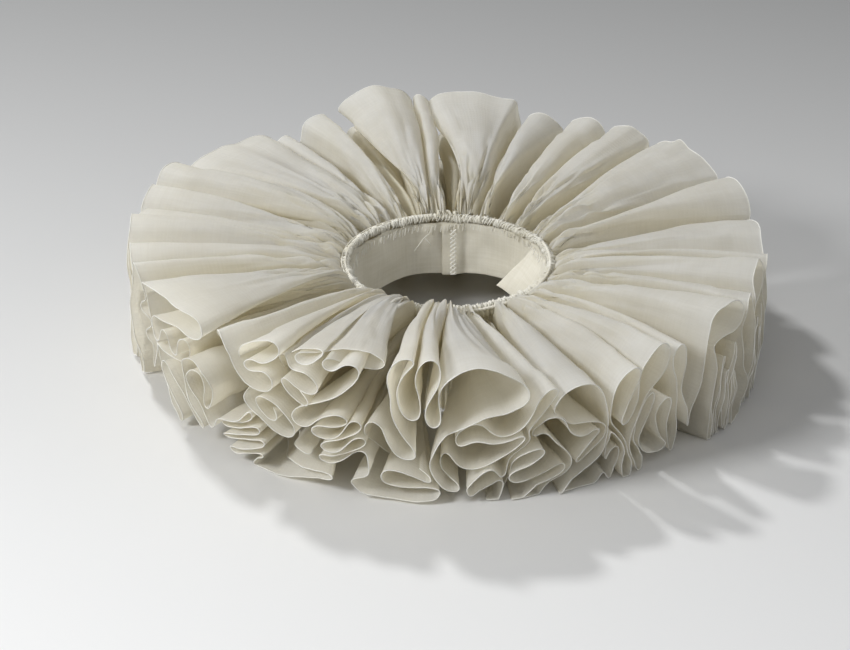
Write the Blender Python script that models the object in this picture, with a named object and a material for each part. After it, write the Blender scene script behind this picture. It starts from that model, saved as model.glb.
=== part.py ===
"""A linen ruff collar, lying flat: the neckband, the whipped gathering edge and the frill, which is one long strip
in fourteen joined lengths.  Metres, +Z up, origin at the bottom centre of the collar."""
import math

import bpy
import numpy as np

MM = 0.001

# The cut: one long strip, hemmed on its outer edge, gathered to a band round the neck.
FRILL_WIDTH = 135.0 * MM  # from the gathering edge to the hem, along the cloth
WALL = 1.0 * MM  # the cloth's wall
SEAM_GAP = 0.3 * MM  # between pieces that are sewn together

# The neck: the band, the ridge of whipped pleats on it and the pleats' roots.
NECK_X = 1.2 * MM  # the neck's centre, a little off the middle of the uneven rim
NECK_Y = 0.2 * MM
BAND_RADIUS = 62.5 * MM  # inner face of the band
BAND_WALL = 1.4 * MM  # two layers of linen
BAND_TOP = 62.0 * MM
BAND_HEIGHT = 35.0 * MM
BAND_LAP = 13.0 * MM  # how far one end of the band laps over the other
BAND_LAP_END = math.radians(183.0)  # where the upper end stops
BAND_LEAN = 21.0 * MM  # how far the lower edge has fallen in, at most
BAND_LEAN_AT = math.radians(118.0)
BAND_LEAN_SPREAD = math.radians(34.0)
EDGE_RADIUS = 65.2 * MM  # centre line of the whipped ridge
EDGE_HEIGHT = 65.2 * MM
EDGE_THICK = 2.7 * MM  # its half thickness
ROOT_RADIUS = 68.3 * MM  # where the frill leaves the ridge
ROOT_HEIGHT = 58.5 * MM
PLEAT_DEPTH = 13.0 * MM  # of a pleat at the gathering, top to bottom

# The rim: the hem is drawn as a path on a cylinder of this radius, unrolled.
RIM_RADIUS = 196.0 * MM
SPREAD = 1.12  # how soon the folds open out from the neck: 1 opens them evenly
TURN_STEP = math.radians(58.0)  # most that the hem bends at one point
SLIGHT_BEND = math.radians(12.0)  # a bend that one point is enough for
STRAIGHT_STEP = 1.6 * MM  # the run of a turn's points where the path hardly bends
ROWS = (0.0, 0.2, 0.46, 0.8, 1.0)  # share of the frill's width, from root to hem
FLOOR = 0.5 * WALL  # no lower than this lies the middle of the cloth
LOW_HEM = 8.0 * MM  # where the hem is lower than this the cloth behind it sinks on to the floor too
LOW_SINK = 14.0 * MM
ON_FLOOR = 0.2 * MM  # what is lower than this lies flat on the floor
SWAY = 6.0 * MM  # how far the folds wander sideways from their places in the tables, at SWAY_HEIGHT
SWAY_HEIGHT = 100.0 * MM
SWAY_LENGTH = 30.0 * MM
SWAY_RISE = 0.02  # and upwards, as a share of their height
SET_CLEAR = 3.4 * MM  # how far inside a crest's width its lower folds stay
CORNER = 2.5 * MM  # the bend where the cloth turns down to its lowest fold
RIPPLE_CLEAR = 6.5 * MM  # between a ripple's top and the fold above it
RIPPLE_SHARE = 0.66  # and no more than this share of the room under that fold
LOW_FOLD = 45.0 * MM  # folds that stay lower than this at the rim have shallower pleats at the neck
SHARPEST = 1.3 * MM  # the tightest bend of the cloth
BEND_OUT = 0.25  # how far a wall stands out of a sharp bend, as a share of its thickness
EVEN_WINDOW = 19  # pleats over which the gathering follows the folds of the rim
EVEN_SHARE = 0.62

# The sets on the back and sides, in the order in which the hem runs: a crest and the folds beneath it.
# length: which joined length of the strip they are on
# angle: of the crest, degrees, 0 at the front and 90 at the wearer's left
# width, crest, mouth: of the top fold: its width, the height of its top and how far its mouth opens, mm
# stack: folds laid flat under it; a minus sign lays them down before the crest and not after it
# ripples: small upright waves along the lowest fold
# foot: height of the lowest cloth, mm
# pull_in: how far the hem falls short of its full reach, mm
SETS = (
    # length angle width crest mouth stack ripples foot pull_in
    (1, 33.3, 14, 82, 26, 0, 0, 0, 0),
    (1, 39.0, 15, 87, 30, 0, 0, 3, 0),
    (1, 43.9, 9, 79, 24, 0, 0, 0, 1),
    (1, 47.4, 8, 75, 20, 0, 0, 2, 2),
    (1, 50.6, 9, 78, 22, 0, 0, 0, 2),
    (2, 57.0, 28, 91, 22, 1, 2, 0, 0),
    (2, 66.0, 15, 84, 24, 0, 0, 3, 2),
    (2, 73.5, 30, 88, 20, 1, 2, 0, 3),
    (3, 82.5, 12, 84, 26, 0, 0, 0, 2),
    (3, 95.5, 56, 83, 22, 2, 2, 0, 5),
    (4, 109.0, 24, 86, 20, -1, 0, 3, 1),
    (4, 128.0, 62, 90, 24, 2, 2, 0, 0),
    (5, 143.5, 32, 86, 22, 1, 1, 2, 0),
    (5, 152.5, 24, 87, 22, -1, 0, 0, 0),
    (5, 160.5, 14, 83, 24, 0, 0, 4, 1),
    (6, 174.5, 50, 95, 24, 1, 2, 0, 0),
    (6, 184.0, 7, 94, 18, 0, 0, 2, 2),
    (7, 193.4, 46, 102, 24, 2, 2, 0, 0),
    (7, 207.5, 11, 88, 22, 0, 0, 3, 0),
    (7, 213.5, 12, 74, 20, 0, 0, 1, 2),
    (8, 226.5, 66, 85, 24, 2, 2, 0, 1),
    (8, 244.0, 32, 95, 24, 1, 1, 2, 0),
    (9, 253.3, 18, 89, 26, 0, 0, 0, 0),
    (9, 260.0, 16, 85, 24, 0, 0, 4, 3),
    (9, 267.0, 19, 88, 20, 0, 0, 0, 0),
    (9, 274.3, 17, 84, 22, 0, 0, 3, 3),
    (9, 282.0, 22, 89, 24, 1, 0, 0, 1),
)

# The front folds, one by one, where the loosened sets lie over each other.
# length: which joined length they are on; side: 1 where the hem passes over the fold, -1 where it passes under
# angle, height: of the fold's middle, degrees and mm; half_width, half_height: mm; slant: degrees
# pull_in: how far the hem falls short of its full reach, mm
FOLDS = (
    # length side angle height half_width half_height slant pull_in
    (10, 1, 290.5, 67, 6, 13, 0, 3),
    (10, -1, 293.2, 13, 3.5, 10, 0, 2),
    (10, 1, 302.5, 67, 25, 9, -6, 2),
    (10, -1, 297.4, 51, 3.5, 6, 0, 3),
    (10, 1, 306.2, 41, 4, 4, 0, 2),
    (10, -1, 297.6, 31, 3.5, 6, 0, 3),
    (10, 1, 304.8, 22, 4, 3.5, 0, 2),
    (10, -1, 298.8, 14, 3.5, 5, 0, 1),
    (10, -1, 308.6, 15, 4, 6, 0, 1),
    (11, 1, 313.6, 80, 4.5, 9, 0, 2),
    (11, -1, 319.0, 48, 15, 9, 6, 2),
    (11, 1, 323.6, 88, 16, 7, 0, 2),
    (11, -1, 324.4, 75, 5, 4, 0, 3),
    (11, 1, 328.4, 68, 3.5, 3.5, 0, 3),
    (11, -1, 325.0, 60, 4.5, 4.5, 0, 3),
    (11, 1, 328.4, 45, 4.5, 9, 0, 2),
    (11, -1, 314.2, 29, 4.5, 5.5, 0, 1),
    (11, 1, 323.8, 20, 3.5, 3.5, 0, 1),
    (11, -1, 315.6, 11, 4, 5.5, 0, 1),
    (11, -1, 330.6, 12, 4, 7, 0, 1),
    (12, 1, 333.4, 88, 7, 10, -20, 9),
    (12, -1, 336.2, 85.5, 3, 4, 0, 13),
    (12, 1, 344.0, 91, 14, 8, 8, 18),
    (12, -1, 335.7, 71, 3.5, 4.5, 0, 9),
    (12, 1, 343.2, 64, 5, 5, 15, 5),
    (12, -1, 335.3, 55, 3.5, 5, 0, 3),
    (12, 1, 343.4, 47, 4.5, 4.5, 0, 2),
    (12, -1, 335.7, 38, 3.5, 4.5, 0, 2),
    (12, 1, 343.4, 31, 3.5, 3.5, 0, 1),
    (12, -1, 335.9, 18, 4.5, 8, 0, 1),
    (12, -1, 344.8, 12, 3.5, 6, 0, 1),
    (13, 1, 347.4, 50, 4, 7, -10, 2),
    (13, -1, 349.6, 10, 2.5, 6, 0, 0),
    (13, 1, 351.9, 14, 3, 4, 0, 0),
    (13, -1, 356.2, 14, 3.5, 8, 0, 0),
    (13, 1, 350.8, 31, 2.5, 7, 0, 1),
    (13, 1, 352.6, 92, 8.5, 9, 0, 5),
    (13, -1, 353.4, 66, 6.5, 8, 0, 5),
    (13, 1, 356.5, 84, 1.8, 7, 0, 5),
    (13, -1, 358.2, 61, 3.6, 7, 0, 4),
    (13, 1, 366.8, 79.5, 25.5, 16.5, -4, 0),
    (13, -1, 360.8, 27, 10, 17, 12, 0),
    (13, 1, 364.9, 17, 6, 5, 20, 0),
    (13, -1, 368.4, 8, 4, 6, 0, 0),
    (13, 1, 371.6, 14, 4, 5, 15, 0),
    (13, -1, 376.6, 15, 5, 13, 0, 0),
    (13, 1, 364.3, 38, 4, 6.5, 0, 0),
    (13, -1, 373.4, 51, 5, 6, 0, 0),
    (13, 1, 377.7, 66, 4, 8, 0, 1),
    (13, -1, 379.0, 57, 1.8, 6, 0, 1),
    (14, 1, 384.4, 62, 16.5, 12, -3, 1),
    (14, -1, 380.8, 42, 3.5, 6.5, 0, 0),
    (14, 1, 387.2, 30, 4, 4.5, 0, 0),
    (14, -1, 381.2, 18, 3.5, 6, 0, 0),
    (14, 1, 385.4, 11, 3, 4, 0, 0),
    (14, -1, 390.4, 9, 3.5, 8, 0, 0),
)

LINEN = (0.80, 0.79, 0.74)
LINEN_SHADE = (0.62, 0.58, 0.47)


def clear_scene():
    for old in list(bpy.data.objects):
        bpy.data.objects.remove(old)


def round_neck(radius, angle, z):
    """A point at a radius and an angle round the neck's centre; angle 0 is the front, a quarter turn is +X."""
    return np.stack([NECK_X + radius * np.sin(angle), NECK_Y - radius * np.cos(angle), z], axis=-1)


def linen(name, colour, roughness):
    material = bpy.data.materials.new(name)
    material.use_nodes = True
    shader = material.node_tree.nodes["Principled BSDF"]
    shader.inputs["Base Color"].default_value = (*colour, 1.0)
    shader.inputs["Roughness"].default_value = roughness
    shader.inputs["Metallic"].default_value = 0.0
    return material


# ---------------------------------------------------------------- the hem's path
# A turn is (side, x, z, half_width, half_height, slant, pull_in): the hem wraps round an ellipse at x along the
# rim and z up, over it when side is 1 and under it when side is -1.


def low_turns(left, right, top, foot, ripples, pull_in):
    """The lowest fold, from left to right: a turn under at its left, then small upright waves."""
    room = (right - left) / (2 * ripples + 1)
    half = 0.38 * room
    high = 0.5 * (top - foot)
    if not ripples:
        return [(-1, left + 0.5 * room, foot + high, half, high, 0.0, pull_in)]
    turns = [(-1, left + CORNER, top - CORNER, CORNER, CORNER, 0.0, pull_in)]
    for wave in range(ripples + 1):
        down = left + (2 * wave + 0.5) * room
        turns.append((-1, down, foot + 0.5 * high, half, 0.5 * high, 0.0, pull_in))
        if wave < ripples:
            peak = min(top - RIPPLE_CLEAR, foot + RIPPLE_SHARE * (top - foot))
            tall = 0.4 * (peak - foot)
            turns.append((1, down + room, peak - tall, half, tall, 0.0, pull_in))
    return turns


def set_turns(row, right_gap):
    """The turns of one set: its crest, the folds laid under it and the foot from which the next set rises."""
    _, angle, width, crest, mouth, stack, ripples, foot, pull_in = row
    x = math.radians(angle) * RIM_RADIUS
    half = 0.5 * width * MM
    open_half = 0.5 * mouth * MM
    foot = foot * MM
    pull_in = pull_in * MM
    crest_turn = (1, x, crest * MM - open_half, half, open_half, 0.0, pull_in)
    under = crest * MM - 2 * open_half
    foot_half = max(1.8 * MM, 0.40 * right_gap)
    foot_high = min(10 * MM, 0.5 * (under - foot))
    foot_turn = (-1, x + half + 0.5 * right_gap, foot + foot_high, foot_half, foot_high, 0.0, pull_in)
    if stack == 0:
        return [crest_turn, foot_turn]
    left = x - half + SET_CLEAR
    right = x + half - SET_CLEAR
    if stack < 0:
        high = 0.25 * (under - foot)
        wide = min(0.8 * high, 0.4 * (right - left))
        before = (-1, right - wide, foot + high, wide, high, 0.0, pull_in)
        back = (1, left + wide, foot + 3 * high, wide, high, 0.0, pull_in)
        return [before, back, crest_turn, foot_turn]
    turns = [crest_turn]
    folds = 2 * stack - 2
    low = foot + (0.40 if ripples else 1.0) * (under - foot) / stack
    high = 0.5 * (under - low) / max(1, folds)
    level = under
    for fold in range(folds):
        side = 1 if fold % 2 else -1
        place = right - 0.7 * high if fold % 2 else left + 0.7 * high
        turns.append((side, place, level - high, 0.7 * high, high, 0.0, pull_in))
        level -= 2 * high
    return turns + low_turns(left, right, level, foot, ripples, pull_in) + [foot_turn]


def fold_turn(row):
    """The turn of one of the front folds."""
    _, side, angle, height, half_width, half_height, slant, pull_in = row
    x = math.radians(angle) * RIM_RADIUS
    return side, x, height * MM, half_width * MM, half_height * MM, math.radians(slant), pull_in * MM


def eased(turn):
    """The same turn with its end no sharper than the cloth bends; its top or foot stays where it is."""
    side, x, z, half_width, half_height, slant, pull_in = turn
    high = min(half_height, half_width**2 / SHARPEST)
    return side, x, z + side * (half_height - high), half_width, high, slant, pull_in


def all_turns():
    """Every turn of the hem, and the index of the first turn of each joined length."""
    turns = []
    lengths = []
    for place, row in enumerate(SETS):
        if place + 1 < len(SETS):
            after = SETS[place + 1]
            next_left = math.radians(after[1]) * RIM_RADIUS - 0.5 * after[2] * MM
        else:
            next_left = math.radians(FOLDS[0][2]) * RIM_RADIUS - FOLDS[0][4] * MM
        right_gap = next_left - math.radians(row[1]) * RIM_RADIUS - 0.5 * row[2] * MM
        made = set_turns(row, right_gap)
        turns += made
        lengths += [row[0]] * len(made)
    turns += [fold_turn(row) for row in FOLDS]
    lengths += [row[0] for row in FOLDS]
    starts = [here for here, length in enumerate(lengths) if here == 0 or length != lengths[here - 1]]
    return [eased(turn) for turn in turns], starts


def turned(dx, dz, angle):
    cos, sin = math.cos(angle), math.sin(angle)
    return dx * cos - dz * sin, dx * sin + dz * cos


def touch(turn, dx, dz):
    """The point on a turn's ellipse where a hem that runs along (dx, dz) touches it."""
    side, x, z, half_width, half_height, slant = turn[:6]
    ex, ez = turned(dx, dz, -slant)
    angle = math.atan2(side * ex / half_width, -side * ez / half_height)
    px, pz = turned(half_width * math.cos(angle), half_height * math.sin(angle), slant)
    return x + px, z + pz


def headings(turns, around):
    """For each turn, the hem's direction as it comes onto it, and how far it turns there; closed round the ring."""
    count = len(turns)
    leave = [0.0] * count
    for here in range(count):
        first, second = turns[here], turns[(here + 1) % count]
        shift = around if here == count - 1 else 0.0
        dx = second[1] + shift - first[1]
        dz = second[2] - first[2]
        for _ in range(12):
            x0, z0 = touch(first, dx, dz)
            x1, z1 = touch(second, dx, dz)
            dx, dz = x1 + shift - x0, z1 - z0
        leave[here] = math.atan2(dz, dx)
    enter = [leave[here - 1] for here in range(count)]
    bends = []
    for here, turn in enumerate(turns):
        bend = (turn[0] * (enter[here] - leave[here])) % (2 * math.pi)
        bends.append(0.0 if bend > 1.85 * math.pi else bend)
    return enter, bends


def root_turns(turns):
    """The same turns at the gathering edge: upright pleats of one depth, spaced nearly evenly round the neck."""
    count = len(turns)
    pitch = 2 * math.pi / count
    lean = np.array([turn[1] / RIM_RADIUS - place * pitch for place, turn in enumerate(turns)])
    reach = EVEN_WINDOW // 2
    half = 0.40 * pitch * ROOT_RADIUS
    rise = 0.5 * PLEAT_DEPTH - half
    pleats = []
    for place, turn in enumerate(turns):
        near = lean[[(place + step) % count for step in range(-reach, reach + 1)]]
        angle = place * pitch + EVEN_SHARE * np.mean(near) + (1 - EVEN_SHARE) * np.mean(lean)
        level = rise if turn[0] < 0 else rise * (2 * min(1.0, (turn[2] + turn[4]) / LOW_FOLD) - 1)
        pleats.append((turn[0], angle * ROOT_RADIUS, ROOT_HEIGHT + turn[0] * level, half, half, 0.0))
    return pleats


def sway(x, z):
    """Lets the folds wander a little, all of them together so that none of them meet."""
    dx = SWAY * np.sin(x / SWAY_LENGTH) * z / SWAY_HEIGHT
    dz = SWAY_RISE * np.sin(0.83 * x / SWAY_LENGTH) * z
    return x + dx, z + dz


def hem_points():
    """Rows of (rim angle, hem height, pull_in, root angle, root height), and where each joined length starts."""
    turns, starts = all_turns()
    pleats = root_turns(turns)
    enter, bends = headings(turns, 2 * math.pi * RIM_RADIUS)
    root_enter, root_bends = headings(pleats, 2 * math.pi * ROOT_RADIUS)
    points = []
    first_point = []
    for here, (turn, pleat) in enumerate(zip(turns, pleats)):
        if here in starts:
            first_point.append(len(points))
        steps = math.ceil((max(bends[here], root_bends[here]) - SLIGHT_BEND) / TURN_STEP)
        for step in range(steps + 1):
            part = step / steps if steps else 0.5
            heading = enter[here] - turn[0] * bends[here] * part
            x, z = touch(turn, math.cos(heading), math.sin(heading))
            if bends[here] < SLIGHT_BEND:
                x += (part - 0.5) * STRAIGHT_STEP * math.cos(heading)
                z += (part - 0.5) * STRAIGHT_STEP * math.sin(heading)
            heading = root_enter[here] - turn[0] * root_bends[here] * part
            xr, zr = touch(pleat, math.cos(heading), math.sin(heading))
            if root_bends[here] < SLIGHT_BEND:
                xr += (part - 0.5) * STRAIGHT_STEP
            points.append((x, z, turn[6], xr / ROOT_RADIUS, zr))
    points = np.array(points)
    x, points[:, 1] = sway(points[:, 0], points[:, 1])
    points[:, 0] = x / RIM_RADIUS
    return points, first_point


# ---------------------------------------------------------------- from the path to cloth


def frill_point(samples, share):
    """Points of the frill's middle surface at one share of its width, for rows from hem_points."""
    angle, height, pull_in, root_angle, root_height = samples.T
    opened = 1 - (1 - share) ** SPREAD
    around = root_angle + (angle - root_angle) * opened
    sink = LOW_SINK * np.clip(1 - height / LOW_HEM, 0, 1)
    z = root_height + (height - root_height) * opened - sink * opened**3
    reach = np.sqrt(FRILL_WIDTH**2 - (height - root_height) ** 2)
    radius = ROOT_RADIUS + reach * share - pull_in * share**2
    return round_neck(radius, around, np.maximum(z, FLOOR))


def walls_of(middle, wall, bend_out=0.0):
    """The two skins of a wall, from a grid of points down it.

    bend_out moves the wall outwards in sharp bends, except along its first row."""
    along = np.gradient(middle, axis=0)
    across = np.gradient(middle, axis=1)
    normal = np.cross(along, across)
    normal /= np.linalg.norm(normal, axis=-1, keepdims=True)
    run = np.diff(middle, axis=0)
    run /= np.linalg.norm(run, axis=-1, keepdims=True)
    bend = np.zeros(middle.shape[:2])
    bend[1:-1, 1:] = np.sum((run[1:] - run[:-1]) * normal[1:-1], axis=-1)[:, 1:]
    out = -bend_out * wall * np.clip(bend, -1, 1)
    return middle + (0.5 * wall + out)[..., None] * normal, middle - (0.5 * wall - out)[..., None] * normal


def solid_from_skins(name, outer, inner, material, closed=False):
    """One closed mesh from two grids of the same size; closed joins the last column to the first."""
    columns, rows = outer.shape[:2]
    points = np.concatenate([outer.reshape(-1, 3), inner.reshape(-1, 3)])
    points[points[:, 2] < ON_FLOOR, 2] = 0.0
    half = columns * rows

    def at(column, row, skin):
        return skin * half + (column % columns) * rows + row

    faces = []
    last = columns if closed else columns - 1
    middle = 0.5 * (outer + inner)
    for column in range(last):
        after = column + 1
        for row in range(rows - 1):
            corners = ((column, row), (after, row), (after, row + 1), (column, row + 1))
            spots = [middle[place % columns, level] for place, level in corners]
            slim = np.linalg.norm(spots[0] - spots[2]) <= np.linalg.norm(spots[1] - spots[3])
            for triple in ((0, 1, 2), (0, 2, 3)) if slim else ((0, 1, 3), (1, 2, 3)):
                faces.append([at(*corners[corner], 0) for corner in triple])
                faces.append([at(*corners[corner], 1) for corner in reversed(triple)])
        faces.append((at(column, 0, 1), at(after, 0, 1), at(after, 0, 0), at(column, 0, 0)))
        end = rows - 1
        faces.append((at(column, end, 0), at(after, end, 0), at(after, end, 1), at(column, end, 1)))
    if not closed:
        end = columns - 1
        for row in range(rows - 1):
            faces.append((at(0, row, 0), at(0, row + 1, 0), at(0, row + 1, 1), at(0, row, 1)))
            faces.append((at(end, row, 1), at(end, row + 1, 1), at(end, row + 1, 0), at(end, row, 0)))
    mesh = bpy.data.meshes.new(name)
    mesh.from_pydata([tuple(point) for point in points], [], faces)
    mesh.update()
    mesh.shade_smooth()
    mesh.materials.append(material)
    made = bpy.data.objects.new(name, mesh)
    bpy.context.scene.collection.objects.link(made)
    return made


def seam_cut(before, after, gap):
    """The ends of two lengths that meet halfway between two points of the path, the seam's gap apart all along."""
    middle = 0.5 * (before + after)
    run = after - before
    back = np.zeros(5)
    back[:3] = run[:3] * 0.5 * gap / math.hypot(run[0] * RIM_RADIUS, run[1])
    back[3:] = run[3:] * 0.5 * gap / math.hypot(run[3] * ROOT_RADIUS, run[4])
    return middle - back, middle + back


def make_frill(material):
    points, first_point = hem_points()
    around = np.array([2 * math.pi, 0.0, 0.0, 2 * math.pi, 0.0])
    lengths = []
    for place, start in enumerate(first_point):
        end = first_point[place + 1] if place + 1 < len(first_point) else len(points)
        lengths.append(points[start:end])
    for place, samples in enumerate(lengths):
        before = lengths[place - 1][-1] - (around if place == 0 else 0.0)
        following = lengths[(place + 1) % len(lengths)][0] + (around if place == len(lengths) - 1 else 0.0)
        start = seam_cut(before, samples[0], SEAM_GAP)[1]
        end = seam_cut(samples[-1], following, SEAM_GAP)[0]
        samples = np.vstack([start, samples, end])
        middle = np.stack([frill_point(samples, share) for share in ROWS], axis=1)
        outer, inner = walls_of(middle, WALL, BEND_OUT)
        solid_from_skins(f"frill_length_{place + 1:02d}", outer, inner, material)


def make_neckband(material):
    """A strip round the neck whose ends lap at the back; its lower edge has fallen inwards on one side."""
    lap = BAND_LAP / BAND_RADIUS
    start = BAND_LAP_END - 2 * math.pi - 0.5 * lap
    end = BAND_LAP_END + 0.5 * lap
    steps = 48
    rows = (0.0, 0.5, 1.0)
    step_in = BAND_WALL + SEAM_GAP
    middle = np.zeros((steps + 1, len(rows), 3))
    for column in range(steps + 1):
        angle = start + (end - start) * column / steps
        inwards = step_in * np.clip((angle - (end - 2.2 * lap)) / (1.0 * lap), 0.0, 1.0)
        turn = (angle - BAND_LEAN_AT + math.pi) % (2 * math.pi) - math.pi
        lean = BAND_LEAN * math.exp(-((turn / BAND_LEAN_SPREAD) ** 2))
        for row, down in enumerate(rows):
            radius = BAND_RADIUS + 0.5 * BAND_WALL - inwards - lean * down**1.5
            drop = math.sqrt(BAND_HEIGHT**2 - lean**2) * down
            middle[column, row] = round_neck(radius, angle, BAND_TOP - drop)
    outer, inner = walls_of(middle, BAND_WALL)
    solid_from_skins("neckband", outer, inner, material)


def make_gathering_edge(material):
    """The ridge of whipped pleat heads along the top of the band."""
    sides = 6
    steps = 60
    outer = np.zeros((steps, sides, 3))
    for column in range(steps):
        angle = 2 * math.pi * column / steps
        for side in range(sides):
            turn = 2 * math.pi * side / sides
            radius = EDGE_RADIUS + EDGE_THICK * math.cos(turn)
            height = EDGE_HEIGHT + EDGE_THICK * math.sin(turn)
            outer[column, side] = round_neck(radius, angle, height)
    faces = []
    for column in range(steps):
        for side in range(sides):
            a = column * sides + side
            b = column * sides + (side + 1) % sides
            c = (column + 1) % steps * sides + (side + 1) % sides
            d = (column + 1) % steps * sides + side
            faces.append((a, d, c, b))
    mesh = bpy.data.meshes.new("gathering_edge")
    mesh.from_pydata([tuple(point) for point in outer.reshape(-1, 3)], [], faces)
    mesh.update()
    mesh.shade_smooth()
    mesh.materials.append(material)
    bpy.context.scene.collection.objects.link(bpy.data.objects.new("gathering_edge", mesh))


def main():
    clear_scene()
    cloth = linen("fine_linen", LINEN, 0.85)
    shaded = linen("band_linen", LINEN_SHADE, 0.9)
    make_frill(cloth)
    make_neckband(shaded)
    make_gathering_edge(shaded)


main()
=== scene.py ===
# %% [markdown]
# # A linen ruff, dressed
# The collar is three pieces of sewing: a plain neckband, a ridge of tightly whipped pleats along its top,
# and a frill, one very long strip of fine linen joined from fourteen lengths. The lengths stand once the
# starch has gone soft: the figure-of-eight sets have loosened and lie over each other. This lesson lays the
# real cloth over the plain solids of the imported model, a piece at a time.

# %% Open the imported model
import math

import bpy
import numpy as np
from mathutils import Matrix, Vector


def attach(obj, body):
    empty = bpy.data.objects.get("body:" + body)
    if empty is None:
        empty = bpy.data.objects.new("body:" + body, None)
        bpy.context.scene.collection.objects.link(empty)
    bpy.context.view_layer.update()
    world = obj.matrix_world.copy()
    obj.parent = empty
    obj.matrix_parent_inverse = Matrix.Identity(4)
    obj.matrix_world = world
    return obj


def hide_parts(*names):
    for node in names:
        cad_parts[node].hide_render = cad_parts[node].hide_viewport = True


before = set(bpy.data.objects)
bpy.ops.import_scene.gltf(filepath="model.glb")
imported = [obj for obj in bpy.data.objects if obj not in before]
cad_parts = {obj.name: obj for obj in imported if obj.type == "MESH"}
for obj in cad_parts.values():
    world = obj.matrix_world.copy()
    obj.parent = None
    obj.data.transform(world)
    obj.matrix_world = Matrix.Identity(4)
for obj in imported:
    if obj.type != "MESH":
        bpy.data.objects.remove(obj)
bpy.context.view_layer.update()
MM = 0.001
LENGTHS = sorted(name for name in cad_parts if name.startswith("frill_length"))
print("solids:", len(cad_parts), "of which frill lengths:", len(LENGTHS))

# %% [markdown]
# ## The cut
# The frill is one strip, hemmed along its outer edge and gathered to a band along the other. It could be
# modelled as a flat plane and gathered by cloth simulation, but over twelve metres of linen drawn into a
# ring of forty centimetres is hard to steer. The folds of a set ruff have an order instead, so the hem is
# drawn as a path on the unrolled rim and the cloth is ruled from the gathering to that path. These are the
# maker's sizes.

# %% Sizes of the strip, the neck and the rim
FRILL_WIDTH = 135.0 * MM
NECK_X, NECK_Y = 1.2 * MM, 0.2 * MM
ROOT_RADIUS = 68.3 * MM
RIM_RADIUS = 196.0 * MM
SPREAD, FAN = 1.12, 1.45  # how soon the folds reach their height, and their width
LOW_HEM, LOW_SINK = 8.0 * MM, 14.0 * MM
SWAY, SWAY_HEIGHT, SWAY_LENGTH = 6.0 * MM, 100.0 * MM, 30.0 * MM
print("round the rim, m:", round(2 * math.pi * RIM_RADIUS, 3))

# %% [markdown]
# ## The folds
# A laundress sets a ruff with a hot rod, one figure-of-eight after another. On the back and the sides each
# set is a row here: the crest that shows from above, the folds laid under it and the small waves along the
# floor. At the front the sets have slumped into nests of loops, and no two are alike, so there the hem is
# given point by point.

# %% Sets of the back and sides
# Angles are in degrees; width, crest, mouth, foot and pull_in in mm. stack and ripples say how many folds
# lie under the crest, and how many small waves under those.
SETS = (
    # length angle width crest mouth stack ripples foot pull_in
    (2, 57, 28, 91, 22, 0, 6, 0, 0),
    (2, 66, 15, 84, 24, 0, 0, 3, 2),
    (2, 73.5, 30, 88, 20, 0, 6, 0, 3),
    (3, 82.5, 12, 84, 26, 0, 0, 0, 2),
    (3, 95.5, 56, 83, 22, 1, 9, 0, 5),
    (4, 109, 24, 86, 20, 1, 1, 3, 1),
    (4, 128, 62, 90, 24, 2, 3, 0, 0),
    (5, 143.5, 32, 86, 22, 1, 2, 2, 0),
    (5, 152.5, 24, 87, 22, 1, 1, 0, 0),
    (5, 160.5, 14, 83, 24, 0, 0, 4, 1),
    (6, 175.6, 57, 95, 24, 2, 3, 0, 0),
    (6, 184.9, 11, 97, 18, 0, 0, 2, 2),
    (7, 193.4, 46, 102, 24, 2, 3, 0, 0),
    (7, 207.5, 11, 88, 22, 0, 0, 3, 0),
    (7, 213.5, 12, 74, 20, 0, 0, 1, 2),
    (8, 226.5, 66, 85, 24, 2, 3, 0, 1),
    (8, 244, 32, 95, 24, 1, 2, 2, 0),
    (9, 253.3, 18, 89, 26, 0, 0, 0, 0),
    (9, 260, 16, 85, 24, 0, 0, 4, 3),
    (9, 267, 19, 88, 20, 0, 0, 0, 0),
    (9, 274.3, 17, 84, 22, 0, 0, 3, 3),
)
print("sets:", len(SETS))

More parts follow.
